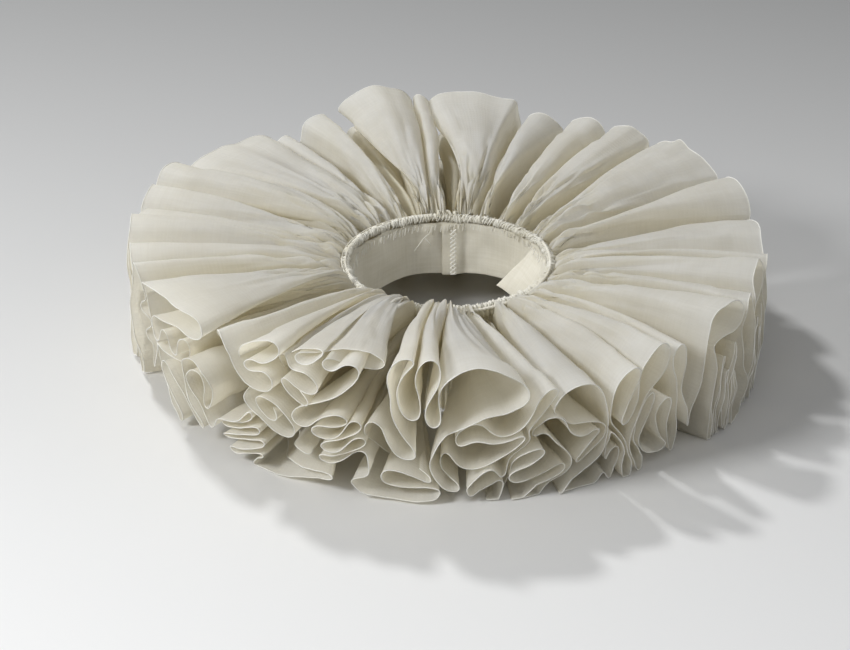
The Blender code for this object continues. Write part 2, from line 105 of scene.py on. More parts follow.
# %% The hem across the front
# angle, height, pull_in: degrees, mm above the floor, and mm short of the strip's full reach
FRONT_HEM = (
    # angle height pull_in
    # the last crest of the left side
    (-79.6, 30, 1), (-79.8, 60, 1), (-79, 80, 1), (-77, 88, 0), (-74.6, 84, 1), (-74, 72, 2), (-74.2, 64, 3),
    (-75.6, 60.5, 2), (-76.9, 58, 1), (-77.3, 54.5, 1), (-76.3, 52, 1), (-74.6, 51, 2), (-73.9, 47, 3),
    (-74.5, 43, 2), (-75.9, 41, 1), (-76.9, 37.5, 1), (-76.1, 34, 1), (-74.4, 32, 2), (-73.5, 26, 3),
    (-72.3, 18, 3), (-71.2, 28, 3), (-71.4, 50, 2), (-71.8, 72, 1), (-70.8, 84, 0),
    # the wide soft lobe beside it
    (-67, 89, 1), (-62, 91, 2), (-56, 92, 3), (-51, 91, 3), (-48.4, 87, 2), (-47.8, 82, 1), (-48.6, 78.5, 1),
    (-51, 76.5, 1), (-54, 75, 1), (-57.5, 74.5, 1), (-61, 73.5, 1), (-64, 71.5, 1), (-66.2, 67, 0),
    (-67, 60, 0), (-66.2, 54, 0), (-64.4, 52.5, 1), (-62.7, 57, 2), (-61.7, 64, 2), (-60.4, 67.5, 2),
    (-59.2, 64, 2), (-59.4, 56, 3), (-58.6, 51, 3), (-57.4, 52, 3), (-56.8, 60, 3), (-55.8, 67, 2),
    (-54.4, 69, 2), (-53.2, 65, 3), (-54, 58, 5), (-55.8, 51, 6), (-58, 47.5, 5), (-61.5, 48, 3),
    # the long nest beneath it
    (-65, 49, 1), (-67.4, 47, 0), (-68.3, 42, 0), (-67.9, 35, 0), (-66.4, 27, 0), (-64.3, 19, 0),
    (-61.8, 12, 1), (-59.3, 7, 2), (-57.8, 7, 2), (-57.6, 10, 2), (-59.2, 16, 1), (-61.2, 23, 0),
    (-63, 30, 0), (-64, 37, 0), (-62.8, 42, 1), (-60.6, 41.5, 1), (-59, 36, 1), (-57.4, 28, 1),
    (-55.5, 20, 1), (-53.4, 13, 1), (-51.9, 9.5, 1), (-51, 11.5, 1), (-52, 18, 1), (-54.2, 26, 0),
    (-56.2, 35, 0), (-57, 44, 0), (-56.2, 52, 0), (-53.8, 58, 0), (-51, 60.5, 0), (-48.6, 58, 0),
    (-47.3, 51, 0), (-47.3, 43, 1), (-48, 35, 2), (-48.8, 28, 3), (-49.7, 25, 4), (-50.6, 28, 4),
    (-50.3, 35, 3), (-49.9, 43, 3), (-50.8, 49.5, 3), (-52.4, 50.5, 3), (-53.8, 46, 3), (-54, 37, 3),
    (-52.8, 28, 2), (-51.2, 20, 2), (-49.4, 13.5, 1),
    # flat layers near the floor, on the left
    (-48.2, 17, 1), (-47.2, 23, 1), (-45.4, 27.5, 0), (-43, 29, 0), (-41, 31, 0), (-39.3, 36, 0),
    (-38.1, 42, 0), (-37.2, 42, 0), (-37.2, 37, 0), (-39.5, 31.5, 0), (-42.5, 27.5, 0), (-45.2, 25, 0),
    (-46.3, 22.8, 1), (-45.2, 21, 2), (-42.5, 23.5, 2), (-39.5, 27.5, 1), (-37, 32, 0), (-35.8, 31.5, 0),
    (-36, 27.5, 0), (-38.5, 23.5, 0), (-41.5, 20, 0), (-44.3, 18, 0), (-45.6, 16.2, 1), (-44.4, 14.5, 2),
    (-41.5, 16, 2), (-38.5, 19.5, 1), (-36, 23, 0), (-34.9, 22, 0), (-35.3, 18.5, 0), (-38, 15, 0),
    (-41, 12, 1), (-43.2, 10.8, 1), (-43.9, 9, 2), (-42.4, 7.8, 2), (-39.8, 9, 2), (-37.3, 12, 1),
    (-35.8, 13.3, 0), (-35.3, 11.5, 0), (-36.8, 8.8, 1), (-38.8, 6.6, 3), (-36.5, 6, 3), (-32.5, 6.6, 3),
    (-28.5, 7.2, 2), (-24.5, 8.2, 1), (-21.6, 9.5, 0), (-20.4, 11.5, 0), (-21, 13.8, 1), (-24, 14, 4),
    (-28, 13, 8), (-32, 13.5, 14), (-34.5, 18, 24), (-37.5, 34, 30), (-41, 58, 26), (-43.6, 78, 12),
    # the nest at the left of the front: three teardrops in one lobe
    (-44.3, 89, 3), (-43.4, 92, 1), (-42.2, 88, 0), (-40.8, 81, 0), (-39.9, 74, 0), (-38.9, 67.5, 0),
    (-37.2, 62.8, 0), (-34.6, 61, 0), (-32.5, 63, 0), (-31.5, 68, 0), (-32, 73, 0), (-33.3, 75.5, 0),
    (-35.2, 73.5, 0), (-36.8, 73, 0), (-37.8, 76, 0), (-37, 80, 0), (-35.2, 81.5, 0), (-33.5, 81, 0),
    (-32, 84, 0), (-30.3, 88, 1), (-29.3, 93, 2), (-29.6, 98, 3), (-31.5, 99, 3), (-34, 96, 2),
    (-36.4, 91.5, 1), (-38.2, 86, 2), (-38.9, 79, 4), (-38.3, 70, 9), (-36.6, 61, 10), (-36.9, 58.6, 3),
    # the lobe that slants down below it
    (-38, 55.5, 0), (-37.6, 50, 0), (-35.5, 43.5, 0), (-33.2, 38, 0), (-31, 33, 0), (-29.4, 31.5, 0),
    (-28.2, 35, 0), (-28.3, 41, 0), (-29.4, 47.5, 0), (-31, 53, 0), (-33.2, 57, 0), (-35.2, 56.5, 1),
    (-35.3, 51, 2), (-33.9, 45, 2), (-32.5, 41.5, 2), (-31.3, 42.5, 2), (-31.3, 47, 3), (-32.6, 51, 7),
    (-32.4, 44, 24), (-31.5, 32, 30), (-29.5, 28.5, 16), (-27.5, 26.5, 6), (-25.2, 24, 4), (-24.4, 26, 8),
    (-26, 34, 26), (-29, 56, 30), (-30.6, 78, 18), (-30.2, 88, 8),
    # two leaves, one in the other
    (-29, 92, 5), (-28.2, 88, 2), (-28, 84, 0), (-26.9, 83, 0), (-25.2, 83.5, 0), (-23.7, 80.5, 0),
    (-22.7, 76, 0), (-22.6, 71.5, 0), (-23.9, 68.3, 0), (-25.9, 69.5, 0), (-27.8, 73, 0), (-29.2, 76, 0),
    (-29.9, 75, 0), (-29.8, 70.5, 0), (-28.7, 65, 0), (-27.2, 60, 0), (-25.7, 57.5, 0), (-24.8, 59.5, 0),
    (-25.2, 64, 2), (-26.6, 70, 10), (-27.6, 79, 20), (-28, 90, 14),
    # the open cup and the drooping lobe
    (-27.4, 94, 6), (-26, 97.5, 8), (-24, 99, 10), (-21.8, 100, 11), (-21, 98.5, 8), (-21.9, 95.5, 3),
    (-23, 92, 0), (-24.2, 89.3, 0), (-25.5, 88.5, 0), (-26.5, 90.5, 0), (-26.7, 93.5, 3), (-25.9, 95.3, 6),
    (-24.3, 96, 9), (-22.6, 97, 12), (-21.3, 98.6, 15), (-19.2, 101.5, 17), (-16.5, 102.5, 18),
    (-13.5, 101.5, 19), (-11.2, 98.5, 19), (-10.6, 94.5, 18), (-12, 91.8, 17), (-14.5, 90.6, 16),
    (-17.2, 91.6, 14), (-19.4, 94, 9), (-20.8, 94.6, 4), (-21.8, 92, 1), (-21.7, 88.5, 0), (-20.5, 86.5, 0),
    (-19.2, 88, 0), (-18, 91.8, 0), (-16.7, 93.5, 1), (-15.5, 92.5, 1), (-15.1, 88.5, 0), (-16.1, 81, 0),
    (-18, 73.5, 0), (-20.2, 67.5, 0), (-23, 62.8, 0), (-25.7, 58.2, 0), (-27.6, 54.2, 0), (-28.6, 50, 0),
    (-27.8, 45.6, 0), (-26.2, 43.8, 0), (-24.6, 46.5, 0), (-23.2, 51.5, 0), (-21.3, 55.5, 0),
    (-19.4, 57.3, 0), (-17.9, 55, 0), (-17.6, 51.5, 0), (-18.9, 48.3, 0), (-21, 47, 0), (-23.2, 48, 1),
    (-24.6, 43.5, 0), (-23.8, 39.8, 0), (-21.5, 38, 0), (-19.6, 41, 0), (-18.3, 47, 0), (-17, 54, 0),
    (-15.8, 54.8, 0), (-14.9, 51.8, 0), (-15.6, 47.2, 0), (-17.4, 43, 0), (-19.6, 38.5, 0), (-21.9, 36.2, 0),
    (-23.1, 33.5, 0), (-22, 30.5, 0), (-19.8, 30.6, 0), (-18.2, 35.5, 0), (-16.8, 41.3, 0), (-15.3, 43.5, 0),
    (-14.2, 41, 0), (-14.7, 37.4, 0), (-16.5, 32.8, 0), (-19, 28.5, 0), (-21.4, 25.8, 0), (-23.4, 25.8, 0),
    (-23.8, 23, 1), (-22.2, 20, 1), (-20, 21.8, 1), (-18.3, 26, 1), (-16.8, 30.8, 1), (-15.2, 33, 1),
    (-14.2, 31, 1), (-14.2, 25, 0), (-13.8, 20.5, 0), (-14.6, 16.5, 1), (-16.4, 14.6, 0), (-17.6, 12.5, 0),
    (-17.5, 9, 0), (-16, 6.8, 0), (-12.5, 6, 0), (-8.5, 5.8, 0), (-4.5, 6, 0), (-1.8, 6.6, 0), (-1, 8.4, 0),
    (-2.2, 10.2, 1), (-5.5, 10.6, 2), (-9, 11, 3), (-11.4, 13, 3), (-12, 17, 2), (-11.6, 21, 1),
    (-10.2, 23.2, 1), (-8.4, 22.6, 1), (-6.4, 20, 1), (-4.6, 16.5, 1), (-3.2, 14.6, 1), (-2.6, 16.5, 2),
    (-3.6, 21, 6), (-5.5, 26, 14), (-8, 30, 24), (-11, 34, 26), (-13, 40, 18), (-14.6, 46, 4),
    (-14.9, 49.5, 0),
    # the folds that hang left of the tall loops
    (-14, 54.5, 0), (-12.8, 54.6, 0), (-11.6, 51, 0), (-10.5, 43.5, 0), (-9.5, 36.5, 0), (-8.2, 32.6, 0),
    (-6.4, 31.2, 0), (-5.4, 33.5, 0), (-5.8, 39, 0), (-7.4, 45, 1), (-8.9, 53, 1), (-9.6, 63, 1),
    (-9.9, 76, 1), (-10.3, 85, 1), (-9.9, 92, 1), (-8.8, 98, 2), (-7.4, 101, 3), (-6, 101, 3),
    (-5.4, 98.5, 3), (-6.6, 94, 2), (-7.9, 87, 1), (-8.7, 79, 0), (-8.6, 70, 0), (-7.7, 62, 0), (-6.2, 58, 0),
    (-5.2, 59, 0), (-4.8, 64, 0), (-5, 73, 2), (-5.6, 83, 6), (-5.4, 93, 6), (-4.4, 100, 4),
    # the narrow loop and the great one
    (-3.1, 103, 3), (-2, 102, 2), (-1.3, 98, 1), (-1.2, 92, 1), (-1.7, 85, 1), (-2.7, 77.5, 0), (-3.6, 71, 0),
    (-4, 64, 0), (-3.5, 57, 0), (-2.5, 54.5, 0), (-1.6, 56, 0), (-1.1, 61, 0), (-1.3, 69, 1), (-1.6, 77, 2),
    (-1.1, 83.5, 1), (0, 89, 1), (1.8, 92.6, 2), (3.4, 94.5, 3), (5.3, 95.5, 3), (7.4, 94.3, 3), (9.6, 91, 2),
    (11.8, 86.3, 1), (13.3, 81, 0), (13.9, 75.5, 0), (13.5, 71, 0), (12.2, 67.3, 0), (10.6, 63.8, 0),
    (9, 62.5, 0), (7, 62, 0), (4.9, 59.5, 0), (3.2, 55.5, 0), (1.6, 51.8, 0), (0, 48.5, 0), (-1.2, 43.6, 0),
    (-2.2, 37, 0), (-3.1, 30.5, 0), (-3.3, 25.5, 0), (-2.7, 20, 0), (-1.6, 14.5, 0), (-0.4, 10.2, 0),
    (1, 8.6, 0), (2.2, 9, 0), (2, 12, 1), (0.6, 17, 3), (-0.9, 22, 6), (-1.4, 29, 8), (-0.8, 37, 6),
    (0.2, 36, 3), (1, 31, 2), (1.9, 26.5, 1), (3.4, 23.6, 0), (5.2, 24, 0), (7.2, 27, 0), (9.4, 31.2, 0),
    (11.2, 36.2, 0), (12.8, 42.3, 0), (13.6, 46, 0), (12.8, 46.8, 1), (11.2, 44.5, 1), (9.4, 42.8, 1),
    (7.4, 42.8, 1), (5.6, 44.8, 1), (3.8, 44, 1), (2.2, 40.5, 1), (1.3, 42.5, 5), (1.4, 48, 5), (3, 53, 2),
    (4.8, 55.4, 1), (6.2, 54, 1), (7.4, 50, 1), (8.8, 47, 1), (10.4, 46.9, 1), (12, 49.3, 1), (13.3, 54, 1),
    (14.4, 61, 1), (15.4, 68, 1), (16.6, 73, 1),
    # the leaf at the right of the great loop, and what lies under it
    (18, 76, 1), (19.3, 75, 1), (18.8, 71, 1), (17.9, 65.5, 1), (16.6, 59.5, 1), (15.2, 54, 1), (14, 50, 1),
    (13.9, 47.6, 2), (14.6, 44.5, 3), (13.8, 40, 3), (12.2, 35.5, 3), (10.9, 31, 3), (10.4, 25, 3),
    (10.3, 20, 3), (9.6, 16.5, 2), (8.6, 21, 1), (7.8, 24.3, 0), (6, 21.5, 0), (4.6, 17, 0), (3.4, 11.5, 0),
    (3, 8, 0), (4, 6.3, 0), (5.6, 8, 0), (7.6, 11.5, 0), (9.4, 15, 0), (10, 12.5, 0), (9.9, 8, 0),
    (8.9, 4.5, 0), (7.6, 3.2, 0), (6.6, 5, 1), (7.2, 8.5, 6), (9, 10.5, 14), (10.8, 14, 14), (11.2, 19, 6),
    (11.1, 25, 1), (12, 30, 0), (13.6, 34, 0), (15.4, 36, 0), (16.8, 36, 0), (17.2, 33, 0), (16, 28.5, 0),
    (14.2, 24.5, 0), (12.3, 21.5, 0), (10.9, 17.5, 0), (10.8, 14.2, 0), (12, 11.5, 0), (14, 12, 0),
    (16, 14.5, 0), (17.8, 16.5, 0), (19.4, 20, 0), (20.9, 21.5, 0), (21.4, 19, 0), (20.2, 14.5, 0),
    (18, 10.5, 0), (15.6, 7.2, 0), (13.2, 5, 0), (11.6, 5.5, 0), (11, 3, 0), (12.2, 1.5, 0), (14.6, 3.5, 1),
    (17.2, 6.5, 1), (19.2, 9.5, 1), (20.8, 12.5, 1), (22.2, 17, 1), (22.6, 22, 1), (21.7, 28, 0),
    (20.3, 33.5, 0), (18.9, 38.5, 0), (17.8, 43.5, 0), (17, 45.5, 0), (16, 44.5, 1), (15.3, 42, 2),
    (14.8, 46.5, 4), (16.2, 51, 3), (17, 55.5, 1), (18.2, 57, 0), (19.6, 55.5, 0), (20.6, 52, 0),
    (21.3, 46, 0), (22.4, 41.5, 0), (23.8, 39.2, 0), (25.2, 39, 0), (26.6, 40.8, 0), (27.8, 40.6, 0),
    (28, 38, 0), (26.6, 33.5, 1), (24.8, 28.5, 1), (23.2, 24, 2), (23, 19.5, 4), (24.4, 22, 6), (26.6, 28, 5),
    (28.6, 35, 3), (28.8, 41.5, 2), (27.6, 45.6, 1), (25.6, 47.6, 1), (23.4, 48.4, 1), (21.6, 48.6, 2),
    (20.2, 54.5, 6), (18.6, 59, 6), (18.2, 63, 2), (19.4, 68.5, 1), (21, 72, 1), (23, 74, 1), (25.2, 73.5, 1),
    (27, 70, 1), (28.2, 62, 1), (28.9, 52, 1), (29.3, 42, 1), (29.4, 32, 1), (28.9, 22, 1), (27.2, 16, 1),
    (25.2, 12, 1), (23, 9, 1), (20.8, 6, 1), (19.8, 3.5, 1), (20.8, 1.2, 1), (23.4, 2.4, 1), (26.2, 4, 1),
    (28.4, 6.4, 1), (29.8, 8.6, 1), (30.6, 4.5, 0), (31.3, 6, 0), (32.2, 12, 0), (32.8, 18, 0), (32.4, 23, 0),
    (31.2, 23, 0), (30.2, 18, 1), (29.9, 13, 3), (29.8, 22, 4), (30, 32, 1), (29.8, 37, 1), (31, 33, 0),
    (32.4, 26.5, 0), (33.4, 20, 0), (33, 12, 0), (32.9, 6, 0), (33.8, 3.4, 0), (35, 5.5, 0), (35, 10, 1),
    (33.9, 17, 1), (33, 27, 2), (31.6, 35, 3), (30.4, 40, 3), (30, 45, 1), (29.9, 54, 0), (30, 63, 0),
    (30.8, 71, 0),
    # the first leaves of the right side
    (32.2, 77, 0), (33.6, 79.5, 0), (34.7, 77, 0), (34.8, 69, 0), (34, 60, 0), (32.8, 51, 0), (31.6, 43.5, 0),
    (31.7, 39.5, 0), (32.8, 40, 1), (33.9, 45, 1), (34.9, 52, 1), (35.2, 61, 0), (35.6, 71, 0), (36.8, 79, 0),
    (38.2, 85, 0), (39.8, 88.5, 0), (41.2, 85, 0), (41.3, 76, 0), (40.4, 67, 0), (38.8, 59, 0), (37, 51, 1),
    (35.6, 42, 1), (34.4, 32, 1), (34, 24, 1), (34.4, 17, 1), (35.4, 11, 1), (36.6, 6, 0), (37.8, 4, 0),
    (38.2, 7, 0), (37.4, 13, 0), (36.2, 19, 0), (35.6, 26, 0), (35.8, 35, 0), (36.6, 44, 0), (38, 52, 0),
    (39.4, 54, 0), (39.7, 48, 0), (38.9, 39, 0), (37.8, 30, 0), (36.9, 22, 0), (37.8, 14, 0), (39.4, 9.5, 0),
    (41.2, 8.5, 0), (43, 9.5, 0), (43.4, 13, 0), (42, 17, 1), (41, 24, 1), (40.4, 33, 2), (40.8, 42, 1),
    (41.8, 48, 1), (42.8, 46, 1), (42.8, 38, 1), (43, 28, 1), (43.8, 18, 1), (44.8, 10, 1), (46, 5, 1),
    (47, 9, 1), (46.6, 20, 1), (45.6, 32, 1), (44.8, 46, 1), (43.8, 58, 1), (42.6, 66, 1), (42.2, 74, 1),
    (43, 80, 1), (44.2, 82.5, 1), (45.4, 79, 1), (45.9, 68, 1), (46.6, 52, 1), (47.6, 34, 1), (48.6, 20, 1),
    (49.4, 14, 1),
)
# where the lengths are joined, by the number of the length that starts there
SEAM_POINTS = {10: (-72.3, 18, 3), 11: (-48.2, 17, 1), 12: (-27.4, 94, 6), 13: (-14, 54.5, 0),
               14: (21.4, 19, 0), 1: (30.6, 4.5, 0)}
print("points of the front hem:", len(FRONT_HEM))

# %% [markdown]
# ## Turns
# A set's fold is a turn: the hem wraps over or under a small ellipse, then runs straight to the next. The
# ends of the folds bulge, as thin cloth does when it is laid down without a crease.

# %% The turns of one set
BULGE = 1.55  # how much taller a fold's round end is than the room between its layers
CLEAR, CORNER = 3.0 * MM, 2.5 * MM  # how far folds stay inside their crest; the bend down to the lowest fold
UNEVEN = 0.618  # a fraction whose multiples never repeat, for folds that differ
MANY, TALL = 6, 0.2  # so many small waves are crushed upright, this much taller
NARROW = 12  # mm; a crest narrower than this has no fold under it
INNER = 0.3  # of the room under a plain crest, the size of the one fold in it
LOW_SHARE = 0.42  # of the height under a crest, left to its small waves
SHY = 0.18  # of a crest's width, the most that a fold under it stops short
FOOT_LEAST, FOOT_FILL, FOOT_TALL = 1.6 * MM, 0.42, 10.0 * MM  # half of the bend between two crests
WAVE_HIGH, WAVE_FILL = 7.0 * MM, 0.40  # half of a wave's round end
WAVE_GAP = 5.0 * MM  # how much the waves' feet differ, and the least room over their peaks
PEAK_LEAST, PEAK_MORE = 0.40, 0.36  # how high the waves stand, as a share of the height there


def low_turns(left, right, top, foot, ripples, pull_in, seed):
    """The lowest fold: a turn under at its left, then small upright waves of different heights."""
    room = (right - left) / (2 * ripples + 1)
    half = WAVE_FILL * room
    turns = [(-1, left + CORNER, top - CORNER, CORNER, CORNER, pull_in)]
    for wave in range(ripples + 1):
        down = left + (2 * wave + 0.5) * room
        low = foot + WAVE_GAP * ((wave * UNEVEN + seed) % 1)
        turns.append((-1, down, low + WAVE_HIGH, half, WAVE_HIGH, pull_in))
        if wave < ripples:
            share = PEAK_LEAST + PEAK_MORE * ((wave * UNEVEN + seed * 1.7) % 1)
            share += TALL if ripples >= MANY else 0.0
            peak = min(top - WAVE_GAP, foot + share * (top - foot))
            turns.append((1, down + room, peak - WAVE_HIGH, half, WAVE_HIGH, pull_in))
    return turns


def set_turns(row, left_edge, right_edge, next_left, seed):
    """All turns of one set, from its crest down through the folds under it to the foot beside it."""
    _, _, width, crest, mouth, stack, ripples, foot, pull_in = row
    half, open_half = 0.5 * (right_edge - left_edge), 0.5 * mouth * MM
    right_gap = next_left - right_edge
    foot, pull_in = foot * MM, pull_in * MM
    crest_turn = (1, left_edge + half, crest * MM - open_half, half, open_half, pull_in)
    level = crest * MM - 2 * open_half
    foot_high = min(FOOT_TALL, 0.5 * (level - foot))
    foot_turn = (-1, right_edge + 0.5 * right_gap, foot + foot_high, max(FOOT_LEAST, FOOT_FILL * right_gap),
                 foot_high, pull_in)
    left, right = left_edge + CLEAR, right_edge - CLEAR
    if not stack and not ripples:
        high, wide = INNER * (level - foot), INNER * (right - left)
        inner = [(-1, left + wide, foot + 0.4 * high, 0.8 * wide, 0.4 * high, pull_in),
                 (1, right - wide, foot + 2.2 * high, 0.8 * wide, 0.6 * high, pull_in)]
        plain = width < NARROW or (seed * 7) % 1 >= 0.5
        return [crest_turn, foot_turn] if plain else inner + [crest_turn, foot_turn]
    turns, folds = [crest_turn], 2 * stack
    high = 0.5 * (1 - LOW_SHARE) * (level - foot) / max(folds, 1)
    for fold in range(folds):
        wide = 0.9 * high
        shy = SHY * (right - left) * ((fold * UNEVEN + seed) % 1)
        place = right - wide - shy if fold % 2 else left + wide + shy
        turns.append((1 if fold % 2 else -1, place, level - high, wide, BULGE * high, pull_in))
        level -= 2 * high
    return turns + low_turns(left, right, level, foot, ripples, pull_in, seed) + [foot_turn]


widest = max(SETS, key=lambda row: row[2])
print("the widest set turns", len(set_turns(widest, 0.0, widest[2] * MM, 70 * MM, 0.5)), "times")

# %% All sets, side by side
TOUCH, TOUCH_FRONT = 3.6 * MM, 2.0 * MM  # crests spread until only this is left between them, and at the front
LAST_RIGHT = math.radians(360 + FRONT_HEM[0][0]) * RIM_RADIUS
lefts = [math.radians(row[1]) * RIM_RADIUS - 0.5 * row[2] * MM for row in SETS]
rights = [math.radians(row[1]) * RIM_RADIUS + 0.5 * row[2] * MM for row in SETS]
for place in range(len(SETS) - 1):
    spare = max(0.0, lefts[place + 1] - rights[place] - TOUCH)
    rights[place] += 0.5 * spare
    lefts[place + 1] -= 0.5 * spare
chain, chain_length = [], []
for place, row in enumerate(SETS):
    next_left = lefts[place + 1] if place + 1 < len(SETS) else LAST_RIGHT - TOUCH_FRONT
    made = set_turns(row, lefts[place], rights[place], next_left, (place * UNEVEN) % 1)
    chain += made
    chain_length += [row[0]] * len(made)
print("turns of the sets:", len(chain))

# %% Where the hem touches its turns
SHARPEST, END_SIZE = 0.9 * MM, 0.1 * MM  # the tightest bend; the size of the turns at both ends
BEND_STEP = math.radians(10.0)
NO_BEND = 1.85 * math.pi  # more than this is not a bend but almost a full turn too many


def touch(turn, dx, dz):
    """The point of a turn where a hem that runs this way just touches it."""
    side, x, z, half_width, half_height = turn[:5]
    angle = math.atan2(side * dx / half_width, -side * dz / half_height)
    return x + half_width * math.cos(angle), z + half_height * math.sin(angle)


def heading(first, second):
    """The direction of the straight run between two turns."""
    dx, dz = second[1] - first[1], second[2] - first[2]
    for _ in range(12):
        x0, z0 = touch(first, dx, dz)
        x1, z1 = touch(second, dx, dz)
        dx, dz = x1 - x0, z1 - z0
    return math.atan2(dz, dx)


def chain_points(first_spot, last_spot):
    """Points along the sets' hem, from one given spot to another, and where each joined length starts."""
    ends = [(1, *spot, END_SIZE, END_SIZE, 0.0) for spot in (first_spot, last_spot)]
    eased = []
    for side, x, z, half_width, half_height, pull_in in chain:
        high = min(half_height, half_width**2 / SHARPEST)
        eased.append((side, x, z + side * (half_height - high), half_width, high, pull_in))
    full = [ends[0]] + eased + [ends[1]]
    leave = [heading(full[here], full[here + 1]) for here in range(len(full) - 1)]
    points, starts = [], {}
    for here, turn in enumerate(eased):
        starts.setdefault(chain_length[here], len(points))
        bend = (turn[0] * (leave[here] - leave[here + 1])) % (2 * math.pi)
        bend = 0.0 if bend > NO_BEND else bend
        steps = max(2, math.ceil(bend / BEND_STEP))
        for step in range(steps + 1):
            way = leave[here] - turn[0] * bend * step / steps
            points.append((*touch(turn, math.cos(way), math.sin(way)), turn[5]))
    return points, starts


print("the hem bends in steps of", round(math.degrees(BEND_STEP)), "degrees")

# %% A curve through the front points
def through(points, parts):
    """A smooth curve through the points; close points make tight bends and never loop back."""
    points = np.asarray(points, float)
    full = np.vstack([2 * points[0] - points[1], points, 2 * points[-1] - points[-2]])
    made = []
    for p0, p1, p2, p3 in zip(full, full[1:], full[2:], full[3:]):
        t0, t1 = 0.0, max(np.linalg.norm(p1 - p0), 1e-6) ** 0.5
        t2 = t1 + max(np.linalg.norm(p2 - p1), 1e-6) ** 0.5
        t3 = t2 + max(np.linalg.norm(p3 - p2), 1e-6) ** 0.5
        t = np.linspace(t1, t2, parts, endpoint=False)[:, None]
        a1 = (t1 - t) / (t1 - t0) * p0 + (t - t0) / (t1 - t0) * p1
        a2 = (t2 - t) / (t2 - t1) * p1 + (t - t1) / (t2 - t1) * p2
        a3 = (t3 - t) / (t3 - t2) * p2 + (t - t2) / (t3 - t2) * p3
        b1 = (t2 - t) / (t2 - t0) * a1 + (t - t0) / (t2 - t0) * a2
        b2 = (t3 - t) / (t3 - t1) * a2 + (t - t1) / (t3 - t1) * a3
        made.append((t2 - t) / (t2 - t1) * b1 + (t - t1) / (t2 - t1) * b2)
    return np.vstack(made)


PARTS = 8
front = np.array([(math.radians(angle) * RIM_RADIUS, height * MM, pull * MM)
                  for angle, height, pull in FRONT_HEM])
front_curve = through(front, PARTS)
seams = {length: FRONT_HEM.index(spot) for length, spot in SEAM_POINTS.items()}
print("front curve points:", len(front_curve))

# %% [markdown]
# ## Fine columns
# The curve is closed round the ring, sampled about every two millimetres and smoothed a little, so that no
# corner is left where a bend meets a straight run.

# %% The whole hem, evenly spaced
COLUMN_STEP = 1.9 * MM
SMOOTHING = 3
ROUND = np.array([2 * math.pi * RIM_RADIUS, 0.0, 0.0])
cut = seams[1] * PARTS
right_part, left_part = front_curve[cut:], front_curve[:cut] + ROUND
sets_part, set_starts = chain_points(right_part[-1][:2], left_part[0][:2])
closed = np.vstack([right_part, sets_part, left_part])
offset = len(right_part)
joins = {1: 0}
joins.update({length: offset + at for length, at in set_starts.items() if length > 1})
offset += len(sets_part)
joins.update({length: offset + at * PARTS for length, at in seams.items() if length > 1})
closed = np.vstack([closed, closed[0] + ROUND])
travel = np.concatenate([[0.0], np.cumsum(np.hypot(*np.diff(closed, axis=0)[:, :2].T))])
COLUMNS = int(travel[-1] / COLUMN_STEP)
even = np.linspace(0.0, travel[-1], COLUMNS, endpoint=False)
path = np.stack([np.interp(even, travel, closed[:, axis]) for axis in range(3)], axis=1)
for _ in range(SMOOTHING):
    after, before = np.vstack([path[1:], path[0] + ROUND]), np.vstack([path[-1] - ROUND, path[:-1]])
    path = 0.5 * path + 0.25 * (after + before)
starts = [round(travel[joins[number + 1]] / travel[-1] * COLUMNS) for number in range(len(LENGTHS))]
print("columns of cloth:", COLUMNS)

# %% [markdown]
# ## Cloth is never quite regular
# Everything that wanders, from the drift of a fold to the pucker of a gather, comes from one seeded noise:
# random values on a grid with smooth curves between them. The same numbers come back on every run.

# %% A smooth, seeded noise
def smooth(share):
    """A step from 0 to 1 that starts and ends gently."""
    return share * share * (3 - 2 * share)


def wander(along, across, seed, cells=0):
    """Values from -1 to 1, smooth over one unit of along and of across; cells closes the ring."""
    size_a, size_b = cells or int(np.max(along)) + 3, int(np.max(across)) + 3
    grid = np.random.default_rng(seed).uniform(-1, 1, (size_a, size_b))
    a0, b0 = np.floor(along).astype(int), np.floor(across).astype(int)
    fa, fb = smooth(along - a0), smooth(across - b0)
    a0 = a0 % size_a
    a1, b1 = (a0 + 1) % size_a, (b0 + 1) % size_b
    low = grid[a0, b0] * (1 - fa) + grid[a1, b0] * fa
    high = grid[a0, b1] * (1 - fa) + grid[a1, b1] * fa
    return low * (1 - fb) + high * fb


print("noise half way along one cell:", round(float(wander(np.array(0.5), np.array(0.0), 1)), 2))

# %% Let the folds of the sets drift
FRONT_LEFT, FRONT_RIGHT = math.radians(-74.0 + 360) * RIM_RADIUS, math.radians(49.0) * RIM_RADIUS
BLEND = 30.0 * MM  # over which the drift dies away at the front's ends
DROP_IN = 0.51  # how much lower a millimetre further in is
STEEPEST, MOST_ROUND = 1.2, 5.0 * MM  # radians from the front, and the most that it moves round
SETTLED = 16.0 * MM  # what is lower than this rises and falls less


def wrapped(angle):
    """The same direction, between minus and plus half a turn."""
    return (angle + math.pi) % (2 * math.pi) - math.pi


def ripple(size, along, long, bend, across, wide):
    """A wave of this size and length along one way, bent by a second wave across it; all in mm."""
    return size * MM * np.sin(along / (long * MM) + bend * np.sin(across / (wide * MM)))


def drifted(x, z, free):
    """All layers drift together, so that none meets the next; the hand-drawn front stays as it is."""
    dx = SWAY * np.sin(x / SWAY_LENGTH) * np.clip(z / SWAY_HEIGHT, 0, 1)
    dx += ripple(2.6, z, 9, 1.3, x, 23) + ripple(1.1, z, 3.9, 2.0, x, 31)
    dz = np.clip(z / SETTLED, 0, 1) * (ripple(1.7, x, 9.5, 0.8, z, 15) + ripple(0.7, x, 4.1, 1.5, z, 13))
    return x + dx * free, z + dz * free


free = np.clip((path[:, 0] - FRONT_RIGHT) / BLEND, 0, 1) * np.clip((FRONT_LEFT - path[:, 0]) / BLEND, 0, 1)
pull_in = path[:, 2]
hem_x, hem_z = drifted(path[:, 0], path[:, 1], free)
